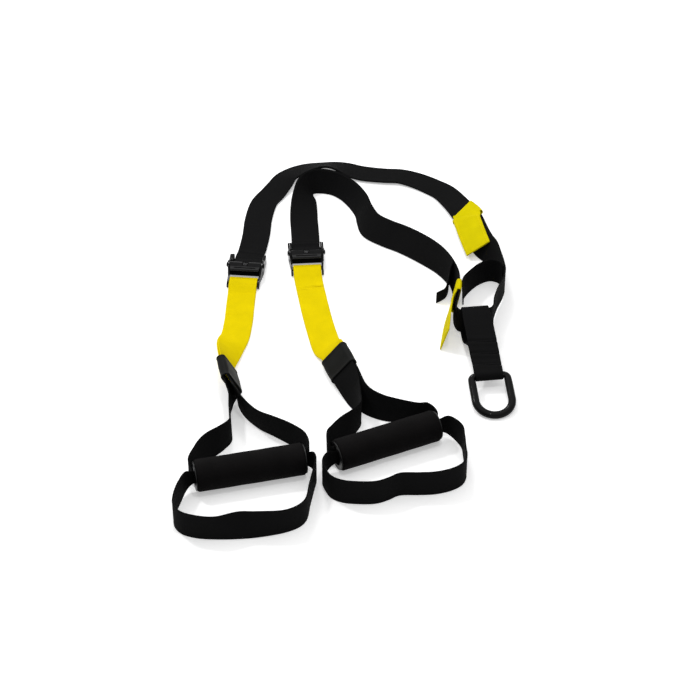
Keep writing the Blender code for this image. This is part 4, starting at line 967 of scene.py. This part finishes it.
def leg_strap(side, shares, split_end, adjuster_last, tail_shares=()):
    """A leg's main ply, its turn in the buckle, the adjuster ply and any tail. Gives the main ply's frames
    and the index at which each station falls on them."""
    place = buckle_place(side)
    low = LOWER_PLY_HEIGHT
    knots = buckle_knots(place, WEBBING_THICKNESS, [
        (-TURN_BAR_BEHIND, low), (BASE_MIDDLE, low), (BASE_FRONT, low),
        (LEG_LANDING, (low + WEBBING_THICKNESS / 2) / 2),
    ])
    first_station = len(knots)
    knots += stations(shares)
    knots.append((*(share * LAID_SPAN for share in split_end), *knots[-1][2:]))
    points, starts = curve_through(knots)
    main = floor_frames(points, WEBBING_THICKNESS)
    starts = starts[first_station:]
    adjuster = second_ply(
        main[:starts[adjuster_last] + 1], WEBBING_THICKNESS + SEAM_GAP, 2 * TURN_RADIUS,
        PLY_FLAT, PLY_SHIFT)
    if tail_shares:
        roll = knots[first_station + adjuster_last][3]
        tail_knots = [knot_at(adjuster[-back][0], roll, WEBBING_THICKNESS) for back in (TAIL_OVERLAP, 1)]
        points, tail_starts = curve_through(tail_knots + stations(tail_shares))
        adjuster += floor_frames(points, WEBBING_THICKNESS, level=True)[tail_starts[1] + 1:]
    around = arc((-TURN_BAR_BEHIND, TURN_BAR_HEIGHT), TURN_RADIUS, *TURN_ARC)
    turn = carried_on(profile_frames(around, place), main[0])
    frames = main[::-1] + turn + flipped(adjuster)
    far = lengths_along(adjuster)[-1]
    creases = turned_down(LEG_CREASES[side], lengths_along(frames)[-1] - far)
    woven(f"{side}_leg_webbing", f"{side}_leg_strap", frames, creases=creases)
    thread = bmesh.new()
    for row in range(3):
        stitches_across(thread, adjuster, far - HEM - row * END_ROWS_APART, WEBBING_THICKNESS / 2)
    add_piece(f"{side}_leg_stitches", thread, "thread_black")
    return main, starts


def yellow_strap(side):
    place = buckle_place(side)
    radius = BAR_RADIUS + SEAM_GAP + YELLOW_THICKNESS / 2
    bar = LOWER_BAR_HEIGHT
    knots = buckle_knots(place, YELLOW_THICKNESS, [
        (-BAR_BEHIND - away, bar - radius) for away in (0, YELLOW_LANDING)])
    knots += stations(YELLOW_SHARES[side])
    knots += sleeve_knots(side, YELLOW_ENTRY_SHARES, -(YELLOW_THICKNESS + SEAM_GAP) / 2, YELLOW_THICKNESS)
    points, _ = curve_through(knots)
    lower = floor_frames(points, YELLOW_THICKNESS, level=True)
    upper = second_ply(lower, YELLOW_THICKNESS + SEAM_GAP, 2 * radius)
    around = arc((-BAR_BEHIND, bar), radius, *YELLOW_ARC)
    turn = carried_on(profile_frames(around, place), lower[0])
    creases = turned_down(YELLOW_CREASES[side], lengths_along(lower)[-1] + lengths_along(turn)[-1])
    frames = lower[::-1] + turn + flipped(upper)
    woven(
        f"{side}_yellow_webbing", f"{side}_yellow_strap", frames, YELLOW_THICKNESS, "yellow_webbing",
        creases=creases)
    thread = bmesh.new()
    for distance in YELLOW_SEAMS[side]:
        for apart in (0, YELLOW_ROWS_APART):
            stitches_across(thread, upper, distance + apart, YELLOW_THICKNESS / 2, margin=YELLOW_MARGIN)
    add_piece(f"{side}_yellow_stitches", thread, "thread_yellow")


def sleeve(side):
    """The moulded sleeve: slightly crowned, with a raised rim at both mouths. Its face is bare."""
    middle, heading, across, normal, _ = sleeve_frame(side)
    reach = heading * (SLEEVE_LENGTH / 2)
    spots = [(-share, extra) for share, extra in SLEEVE_SKIN[:0:-1]] + SLEEVE_SKIN
    frames = [(middle + reach * share, across, normal, WEBBING_WIDTH) for share, _ in spots]
    walls = [SLEEVE_WALL + extra for _, extra in spots]
    mesh = rounded_tube(frames, SLEEVE_HALF_WIDTH, SLEEVE_HALF_THICKNESS, walls, SLEEVE_CORNER_STEPS)
    add_piece(f"{side}_sleeve_skin", mesh, "sleeve_cloth", [f"{side}_sleeve"])


def eased(frames):
    """The frames with each section turned to the mean of its neighbours', so that none turns abruptly."""
    last = len(frames) - 1
    middles = [one[0] for one in frames]
    rows = []
    for i, (point, _, _, width) in enumerate(frames):
        near = min(i, last - i, EASE_SAMPLES)
        across = sum((one[1] for one in frames[i - near:i + near + 1]), Vector())
        rows.append(off_floor(section(point, across, heading_at(middles, i), width), WEBBING_THICKNESS))
    return rows


def handle_frames(side):
    down, up = HANDLE_LEG_SHARES[side]
    hand = math.copysign(1, SLEEVE_PLACES[side][-1])
    upright = hand * math.radians(90)
    off = hand * HANDLE_PLY_OFFSET
    knots = sleeve_knots(side, HANDLE_ENTRY_SHARES, -off, WEBBING_THICKNESS)
    knots += stations(down)
    knots += bore_knots(side, -1, LEG_TURN_SHARES, 1, upright)
    knots += bore_knots(side, 1, LEG_TURN_SHARES, 1, upright)[::-1]
    knots += stations(up)
    knots += sleeve_knots(side, HANDLE_ENTRY_SHARES[::-1], off, WEBBING_THICKNESS, back=True)
    points, _ = curve_through(knots)
    return eased(floor_frames(points, WEBBING_THICKNESS))


def closed_once(frames):
    """A closed ribbon's frames, without the last where it falls on the first."""
    if (frames[-1][0] - frames[0][0]).length < CLOSING_GAP:
        frames.pop()
    return frames


def cradle_frames(side):
    upright = math.radians(90)
    knots = bore_knots(side, -1, CRADLE_TURN_SHARES, -1, upright)
    knots += bore_knots(side, 1, CRADLE_TURN_SHARES, -1, upright)[::-1]
    knots += stations(CRADLE_SHARES[side], plain_roll=90)
    points, _ = curve_through(knots, closed=True)
    return closed_once(floor_frames(points, WEBBING_THICKNESS, closed=True))


def handle(side):
    """Handle webbing and cradle, then the grip that both run through."""
    woven(f"{side}_handle_webbing_woven", f"{side}_handle_webbing", handle_frames(side))
    woven(f"{side}_foot_cradle_woven", f"{side}_foot_cradle", cradle_frames(side), closed=True)
    foam_grip(side)
    end_caps(side)


def foam_grip(side):
    """The foam, with rounded ends and shallow dents."""
    half = GRIP_LENGTH / 2
    bore = TUBE_RADIUS + RUNNING_CLEARANCE
    soft = GRIP_ROUNDING
    profile = [(-half, bore), *arc((-half + soft, GRIP_RADIUS - soft), soft, 180, 90, FOAM_CORNER_STEPS)]
    for i in range(1, FOAM_RINGS):
        profile.append((-half + soft + (GRIP_LENGTH - 2 * soft) * i / FOAM_RINGS, GRIP_RADIUS))
    profile += [*arc((half - soft, GRIP_RADIUS - soft), soft, 90, 0, FOAM_CORNER_STEPS), (half, bore)]
    foam = turned(profile)
    for vert in foam.verts:
        radius = math.hypot(vert.co.y, vert.co.z)
        if radius > bore + soft:
            dent = sum(noise.noise(vert.co * scale) * depth for scale, depth in FOAM_DENTS) - FOAM_SINK
            vert.co.y *= 1 + dent / radius
            vert.co.z *= 1 + dent / radius
    place = grip_place(side)
    grip = add_piece(f"{side}_foam", foam, "foam", [f"{side}_foam_grip"], f"{side}_grip", place=place)


def end_caps(side):
    """The grip's moulded end caps: a plug, and a flange with a dished face between two lips."""
    half = GRIP_LENGTH / 2
    plug = TUBE_RADIUS - TUBE_WALL - RUNNING_CLEARANCE
    face = half + SEAM_GAP
    rim = face + CAP_FLANGE
    dish = face + CAP_DISH
    lip = CAP_LIP
    inside = half - CAP_PLUG
    cap = [(inside, CAP_BORE_RADIUS), (inside, plug), (face, plug), (face, CAP_FLANGE_RADIUS)]
    cap += arc((face + lip, CAP_FLANGE_RADIUS - lip), CAP_EDGE, *CAP_EDGE_ARC)
    cap += [(rim, CAP_FLANGE_RADIUS - 3 * lip), (dish, CAP_FLANGE_RADIUS - 5 * lip)]
    cap += [(dish, CAP_BORE_RADIUS + 3 * lip), (rim, CAP_BORE_RADIUS + 2 * lip)]
    cap += [(rim, CAP_BORE_RADIUS + lip), (face + lip, CAP_BORE_RADIUS)]
    for hand, label in ((-1, "outer_cap"), (1, "inner_cap")):
        mesh = turned([(hand * along, radius) for along, radius in cap])
        add_piece(
            f"{side}_{label}_moulded", mesh, "black_plastic", [f"{side}_{label}"], f"{side}_grip",
            grip_place(side), CAP_SMOOTH_ANGLE)


def tab(side, wrap_frames, lateral, slant=0.0, slack=0.0):
    """The yellow pull tab: its wrap, sewn on at a slant or with some slack, its hemmed flap, and their
    stitches."""
    half_thickness = (WEBBING_THICKNESS + abs(lateral) + slack) / 2 + TAB_CLEARANCE
    half_width = WEBBING_WIDTH / 2 + TAB_CLEARANCE + (PLY_SHIFT if lateral else 0)
    middle_frames = [
        (point + normal * ((lateral + slack) / 2), across, normal, width)
        for point, across, normal, width in wrap_frames]
    slanted = []
    for index, (point, across, normal, width) in enumerate(middle_frames):
        turn = slant * (1 - index / (len(middle_frames) - 1))
        slanted.append((point, Matrix.Rotation(turn, 3, normal) @ across, normal, width))
    walls = [TAB_WALL] * len(slanted)
    wrap = rounded_tube(slanted, half_width / math.cos(slant / 2), half_thickness, walls, TAB_CORNER_STEPS)
    rise = half_thickness + TAB_WALL / 2
    roots = []
    for point, across, normal, _ in (middle_frames[len(middle_frames) // 2], middle_frames[-1]):
        roll = math.asin(max(-1, min(1, across.z)))
        roots.append(knot_at(point + normal * rise, roll, TAB_THICKNESS))
    points, _ = curve_through(roots + stations(TAB_FLAP_SHARES[side]))
    flap = floor_frames(points, TAB_THICKNESS)
    webbing_mesh(flap, TAB_THICKNESS, mesh=wrap)
    add_piece(f"{side}_pull_tab", wrap, "tab_yellow", [f"{side}_tab"])
    thread = bmesh.new()
    far = lengths_along(flap)[-1] - HEM
    rise = TAB_THICKNESS / 2
    for face in (1, -1):
        for hand in (-1, 1):
            aside = hand * (WEBBING_WIDTH / 2 - HEM)
            stitches_along(thread, flap, TAB_WRAP * TAB_SEAM_START_share, far, aside, rise, face)
        stitches_across(thread, flap, far, rise, face)
    add_piece(f"{side}_pull_tab_stitches", thread, "thread_yellow")


def anchor_line(length):
    """Side view of the anchor webbing: one closed loop, as (along, height)."""
    thick = WEBBING_THICKNESS
    bar = BAR_HEIGHT
    wrap = ROD_RADIUS + SEAM_GAP + thick / 2
    strap_top = center_height(LOOP_LIFT * WEBBING_WIDTH, math.radians(90), thick) + WEBBING_WIDTH / 2
    top = strap_top + LOOP_TOP_CLEARANCE + thick / 2
    far = length + thick / 2 + LOOP_FAR_CLEARANCE
    floor = thick / 2 + SEAM_GAP
    upper = [(along * length, height * top) for along, height in ANCHOR_UPPER_SHARES]
    over = [(length - thick * 2, top), (length + thick, top)]
    end = [(far, top - thick * 2), (far + thick / 4, top * 0.5), (far, thick * 2)]
    under = [(length + thick, floor), (length - thick * 4, floor)]
    lower = [(along * length, height * top) for along, height in ANCHOR_LOWER_SHARES]
    top_line, _ = curve_through([(a, h, 0, 0, 0) for a, h in [(0, bar + wrap), *upper, *over]])
    sewn = []
    for share in ANCHOR_SEWN_SHARES:
        spot = next(point for point in top_line if point[0] >= share * length)
        sewn.append((spot[0], spot[1] - ANCHOR_SEWN_STEP))
    along, down = ANCHOR_RETURN_SHARES
    below_bar = [(wrap * along, bar - wrap * down)]
    around = arc((0, bar), wrap, *ANCHOR_ARC)
    side_view = upper + over + end + under + lower + sewn + below_bar + around
    points, _ = curve_through([(along, height, 0, 0, 0) for along, height in side_view], closed=True)
    return [(point[0], point[1]) for point in points]


def anchor_strap():
    """The anchor webbing with its bar tacks; the sewn plies show as low bars across it."""
    place, length = anchor_place()
    line = anchor_line(length)

    def width_at(along):
        spread = min(
            min(1, max(0, away / (length * share)))
            for away, share in zip((along, length - along), ANCHOR_DRAWN_SHARES))
        return WEBBING_WIDTH * (ANCHOR_NARROW_share + (1 - ANCHOR_NARROW_share) * spread)

    frames = closed_once(profile_frames(line, place, width_at, closed=True))
    highest = max(frames, key=lambda one: one[0].z)
    sign = 1 if highest[2].z > 0 else -1
    top_side = [
        (distance, along) for distance, (along, _), one in zip(lengths_along(frames), line, frames)
        if one[2].z * sign > 0.5]
    tacks = [
        min(top_side, key=lambda item: abs(item[1] - share * length))[0] for share in ANCHOR_TACK_SHARES]
    creases = [(at, -sign * TACK_DEPTH, TACK_REACH, TACK_SLANT) for at in tacks]
    for aside in (-TACK_SWELL_ASIDE, TACK_SWELL_ASIDE):
        creases += [(at + aside, sign * TACK_SWELL, TACK_SWELL_REACH, TACK_SLANT) for at in tacks]
    woven("anchor_webbing", "anchor_strap", frames, closed=True, creases=creases)
    thread = bmesh.new()
    for at in tacks:
        for row in (-0.5, 0.5):
            stitches_across(
                thread, frames, at + row * TACK_ROWS_APART, WEBBING_THICKNESS / 2 - TACK_SINK, sign,
                pitch=TACK_PITCH)
    add_piece("anchor_stitches", thread, "thread_black")


def anchor_ring():
    """The D-ring, forged thicker at the ends of its bar."""
    place, _ = anchor_place()
    half = RING_HALF_WIDTH
    corner = RING_CORNER
    straight = RING_LEG - corner
    leg = [corner + straight * i / RING_CORNER_STEPS for i in range(1, RING_CORNER_STEPS)]
    outline = arc((half - corner, -corner), corner, 90, 0, RING_CORNER_STEPS)
    outline += [(half, -down) for down in leg]
    outline += arc((0, -RING_LEG), half, 0, -180, RING_BOW_STEPS)
    outline += [(-half, -down) for down in leg[::-1]]
    outline += arc((-half + corner, -corner), corner, 180, 90, RING_CORNER_STEPS)
    outline += [((half - corner) * (2 * i / RING_BAR_STEPS - 1), 0) for i in range(1, RING_BAR_STEPS)]
    swell = RING_SWELL - ROD_RADIUS
    radii = [ROD_RADIUS + swell * min(1, max(0, -y / (2 * corner))) for _, y in outline]
    mesh = swept([Vector((x, y, 0)) for x, y in outline], radii, RING_FLAT)
    spot = place @ Matrix.Translation((0, 0, BAR_HEIGHT)) @ Matrix.Rotation(RING_PITCH, 4, "X")
    add_piece("d_ring", mesh, "ring_steel", ["anchor_ring"], "ring", place=spot)


def locking_loop():
    points, _ = curve_through(stations(LOCKING_SHARES))
    frames = floor_frames(points, WEBBING_THICKNESS)
    woven("locking_loop_woven", "locking_loop", frames)
    thread = bmesh.new()
    far = lengths_along(frames)[-1]
    for face in (1, -1):
        for distance in (HEM, HEM * 2, far - HEM * 2, far - HEM):
            stitches_across(thread, frames, distance, WEBBING_THICKNESS / 2, face)
    add_piece("locking_loop_stitches", thread, "thread_black")


def add_lug(bm, hand, inner, edge, corner, along, heights):
    """A plate with rounded corners beside a strap; its inner face has a small round edge."""
    back, front = along[0] + corner, along[1] - corner
    low, high = heights[0] + corner, heights[1] - corner
    middles = ((front, high), (back, high), (back, low), (front, low))
    rings = []
    for across, inset in ((inner, edge), (inner + edge, 0.0), (EAR_GAP - LUG_EDGE / 2, 0.0)):
        outline = []
        for quarter, middle in enumerate(middles):
            outline += arc(middle, corner - inset, 90 * quarter, 90 * quarter + 90, LUG_CORNER_STEPS)
        rings.append([bm.verts.new((hand * across, y, height)) for y, height in outline])
    join_rings(bm, rings)


def ear_lugs(side):
    """Rounded lugs inside the buckle's ears, which guide the webbing, and the lips at their feet."""
    front = BUCKLE_REACH + LUG_EDGE
    bm = bmesh.new()
    for hand, thickness in ((-1, LUG_THICKNESS + LUG_SHIFT), (1, LUG_THICKNESS)):
        add_lug(
            bm, hand, EAR_GAP - thickness, LUG_EDGE, LUG_CORNER,
            (LUG_START, front), (BASE_PLATE + SEAM_GAP, EAR_HEIGHT))
        add_lug(
            bm, hand, EAR_GAP - LIP_REACH, LUG_EDGE / 3, LIP_CORNER,
            (BASE_FRONT + SEAM_GAP, front), (SEAM_GAP, SEAM_GAP + LIP_HEIGHT))
    add_piece(f"{side}_ear_lugs", bm, "black_steel", place=buckle_place(side))


def dress_solids():
    """Gives the CAD solids that stay their looks."""
    looks = dict.fromkeys(("buckle_frame", "lower_bar", "turn_bar", "cam_pin", "cam_lever"), "black_steel")
    looks.update(cam_spring="bare_steel", grip_tube="black_plastic")
    for side in ("left", "right"):
        for name, look in looks.items():
            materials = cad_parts[f"{side}_{name}"].data.materials
            materials.clear()
            materials.append(LOOK[look][0])


def seen_directly(look):
    """1 for rays from the camera, a mirror or glass, else 0."""
    path = look.node("ShaderNodeLightPath")
    seen = look.math("MAXIMUM", path.outputs["Is Camera Ray"], path.outputs["Is Glossy Ray"])
    return look.math("MAXIMUM", seen, path.outputs["Is Transmission Ray"])


def floor_look():
    """White floor that keeps the soft shadows; it looks a little lighter than it lights, more so far away."""
    look = Shader("floor_white")
    fill(look.surface, Base_Color=(*FLOOR_WHITE, 1), Roughness=1.0, Specular_IOR_Level=0.0,
         Emission_Color=(1, 1, 1, 1))
    distance = look.node("ShaderNodeVectorMath", operation="LENGTH")
    look.link(look.place("Object"), distance.inputs[0])
    spread = look.node("ShaderNodeMapRange")
    fill(spread, From_Min=FLOOR_NEAR, From_Max=FLOOR_FAR, To_Min=FLOOR_GLOW, To_Max=FLOOR_FAR_GLOW)
    look.link(distance.outputs["Value"], spread.inputs["Value"])
    glow = look.math("MULTIPLY", seen_directly(look), spread.outputs["Result"])
    look.link(glow, look.surface.inputs["Emission Strength"])
    return look.material


def studio_world():
    """Plain white surroundings: seen at full white, but lighting the object less."""
    world = bpy.data.worlds.new("studio")
    bpy.context.scene.world = world
    world.use_nodes = True
    look = Shader("studio", world.node_tree)
    background = world.node_tree.nodes["Background"]
    fill(background, Color=(1, 1, 1, 1))
    share = look.math("MULTIPLY", seen_directly(look), 1 - WORLD_STRENGTH)
    look.link(look.math("ADD", share, WORLD_STRENGTH), background.inputs["Strength"])


def stage():
    """The floor, the surroundings, the lamps and the camera."""
    bm = bmesh.new()
    bmesh.ops.create_grid(bm, x_segments=1, y_segments=1, size=FLOOR_HALF)
    mesh = bpy.data.meshes.new("floor")
    bm.to_mesh(mesh)
    bm.free()
    mesh.materials.append(floor_look())
    add_object("floor", mesh)
    studio_world()
    for name, place, aim, size, power in LAMPS:
        data = bpy.data.lights.new(name, "AREA")
        data.shape = "RECTANGLE"
        data.size, data.size_y = size
        data.energy = power
        lamp = add_object(name, data)
        lamp.location = place
        lamp.rotation_euler = (Vector(aim) - Vector(place)).to_track_quat("-Z", "Y").to_euler()
    data = bpy.data.cameras.new("photo_view")
    data.lens = CAMERA_LENS
    camera = add_object("photo_view", data)
    camera.location = Vector((0, -CAMERA_BACK, CAMERA_HEIGHT)) + SHIFT
    camera.rotation_euler = (CAMERA_TILT, 0, 0)
    bpy.context.scene.camera = camera
    bpy.context.scene.view_settings.view_transform = "Standard"


def build():
    loop_x, loop_y = LOOP_MIDDLE_SHARES
    half_cut = SEAM_GAP / LAID_SPAN / 2
    for side in ("left", "right"):
        ear_lugs(side)
        yellow_strap(side)
        sleeve(side)
        handle(side)
    main, starts = leg_strap("left", LEFT_LEG_SHARES, (loop_x + half_cut, loop_y), LEFT_TAB_STATION + 1)
    wrap = wrap_part(main, starts[LEFT_TAB_STATION] + LEFT_TAB_SAMPLES, TAB_WRAP)
    tab("left", wrap, WEBBING_THICKNESS + SEAM_GAP, slant=LEFT_TAB_SLANT)
    main, starts = leg_strap(
        "right", RIGHT_LEG_SHARES, (loop_x - half_cut, loop_y), RIGHT_TAIL_STATION + 1, TAIL_SHARES)
    tab("right", wrap_part(main, starts[RIGHT_TAB_STATION], TAB_WRAP), 0, slack=RIGHT_TAB_SLACK)
    locking_loop()
    anchor_strap()
    anchor_ring()
    dress_solids()
    stage()


build()
